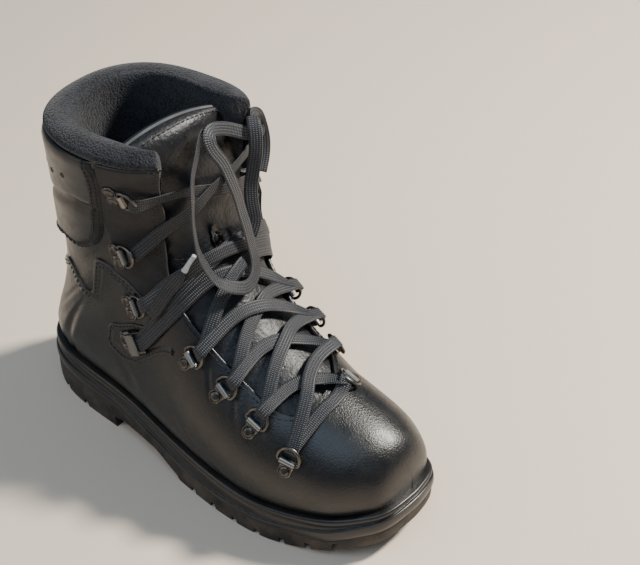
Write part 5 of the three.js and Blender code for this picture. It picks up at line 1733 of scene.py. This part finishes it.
# %% Loop, fold and end
LOOP_POINTS = [
    (132, 59, 220), (139, 61, 222), (148, 58, 226), (154, 50, 229), (153, 41, 233), (149, 30, 240),
    (149, 19, 246), (150, 12, 248), (153, 7.5, 244.5), (156, 8.5, 237), (159, 13, 228),
    (163, 15, 216), (165, 18, 203), (166, 20, 191), (170, 20, 180), (173, 20, 168), (176, 20, 157),
    (180, 16, 151), (184, 8, 149), (186, -1, 151), (184, -9, 155), (180, -16, 160),
    (175, -19, 166), (171, -21, 174), (168, -23, 184), (167, -24, 196), (166, -24, 208),
    (164, -21, 221), (158, -14, 231), (154, -6, 238),
    (149, 3, 244), (146, 10, 245),
]
FOLD_POINTS = [
    (155, 51, 199), (152, 58, 207), (149, 62, 217), (147, 61, 229), (149, 56, 238), (153, 48, 242),
    (159, 43, 237), (162, 40, 225), (162, 37, 212), (162, 34, 200), (165, 31, 189), (168, 30, 178),
    (168, 25, 169),
]
END_POINTS = [
    (140, -43, 131), (143, -41, 135), (145, -39, 140), (148, -36, 147), (151, -32, 154),
    (155, -30, 160), (158, -27, 166), (160, -24, 172), (162, -21, 177),
]
TIP_LENGTH = 13.0
TIP_RADIUS = 1.7


def turning(start, end, count):
    """Directions that turn evenly from one to another."""
    share = np.linspace(0, 1, count)[:, None]
    return np.array(start) * (1 - share) + np.array(end) * share


def free_lace(name, points, end_facing, node, narrow=None):
    """A free part of the lace, its flat side turning from the toe towards the end's facing."""
    facing = turning(TOWARDS_TOE, end_facing, len(points))
    part, line = lace_run(points, facing, step=1.5, narrow=narrow)
    item = piece(name, [part], woven_lace, [node], merge=0.0005)


free_lace("loop_ribbon", LOOP_POINTS, TOWARDS_MEDIAL, "lace_loop")
free_lace("fold_ribbon", FOLD_POINTS, TOWARDS_TOE, "lace_fold")

end_line = catmull(END_POINTS, 14)
end_even, end_run = at_even_steps(end_line, end_line, 1.0)
tip_line = end_even[end_run > end_run[-1] - TIP_LENGTH]
tip_line = np.concatenate([tip_line, tip_line[-1:] + unit(tip_line[-1] - tip_line[-2]) * 0.6])
tip_ahead = unit(np.gradient(tip_line, axis=0))
tip_side = unit(np.cross(tip_ahead, TOWARDS_TOE))
tip_round = TIP_RADIUS * np.ones(len(tip_line))
tip_round[[0, -1]] *= 0.88
tip_wide = np.interp(np.linspace(0, 1, len(tip_line)), [0, 0.3, 1], [1.35, 1.0, 0.92]) * tip_round
tip_rings = tube_rings(tip_line, tip_side, np.cross(tip_side, tip_ahead), tip_wide, tip_round, 20)
tip = piece("lace_tip", [loft(tip_rings)], tip_plastic, merge=0.0005)
NARROWED = ([0, 0.62, 0.74, 1], [1, 1, 0.42, 0.40])
free_lace("end_ribbon", END_POINTS, TOWARDS_TOE, "lace_end", NARROWED)

# %% [markdown]
# ## Floor and light
#
# A plain pale floor and studio light: a small warm key beyond the toe on the inner side, as the
# sun stands in the photo, a warm fill from the outer side for the floor's glow, and a blue sky.

# %% Floor and light
FLOOR_HALF = 4.0
floor_mesh = bpy.data.meshes.new("floor")
floor_corners = [(x * FLOOR_HALF, y * FLOOR_HALF, 0) for x, y in ((-1, -1), (1, -1), (1, 1), (-1, 1))]
floor_mesh.from_pydata(floor_corners, [], [(0, 1, 2, 3)])
floor_mesh.materials.append(
    new_material("pale_floor", Roughness=0.75, Base_Color=linear(0xDCCDBB))[0]
)
floor_object = bpy.data.objects.new("floor", floor_mesh)
bpy.context.scene.collection.objects.link(floor_object)


def area_light(name, place, aim, size, power, colour):
    """A round lamp of some metres and watts, turned towards a point."""
    data = bpy.data.lights.new(name, "AREA")
    data.shape = "DISK"
    data.size = size
    data.energy = power
    data.color = colour
    lamp = bpy.data.objects.new(name, data)
    lamp.location = place
    lamp.rotation_euler = (Vector(aim) - Vector(place)).to_track_quat("-Z", "Y").to_euler()
    bpy.context.scene.collection.objects.link(lamp)


area_light("key", (0.75, 0.85, 1.35), (0.02, 0, 0.1), 0.26, 62, (1.0, 0.94, 0.85))
area_light("fill", (-0.9, -1.5, 0.9), (0, 0, 0.12), 1.3, 8, (1.0, 0.86, 0.72))
area_light("sky_panel", (0.3, -0.9, 1.9), (0, 0, 0.1), 1.6, 14, (0.62, 0.80, 1.0))
world = bpy.data.worlds.new("sky")
bpy.context.scene.world = world
world.use_nodes = True
world.node_tree.nodes["Background"].inputs["Color"].default_value = (0.60, 0.78, 1.0, 1)
world.node_tree.nodes["Background"].inputs["Strength"].default_value = 0.27
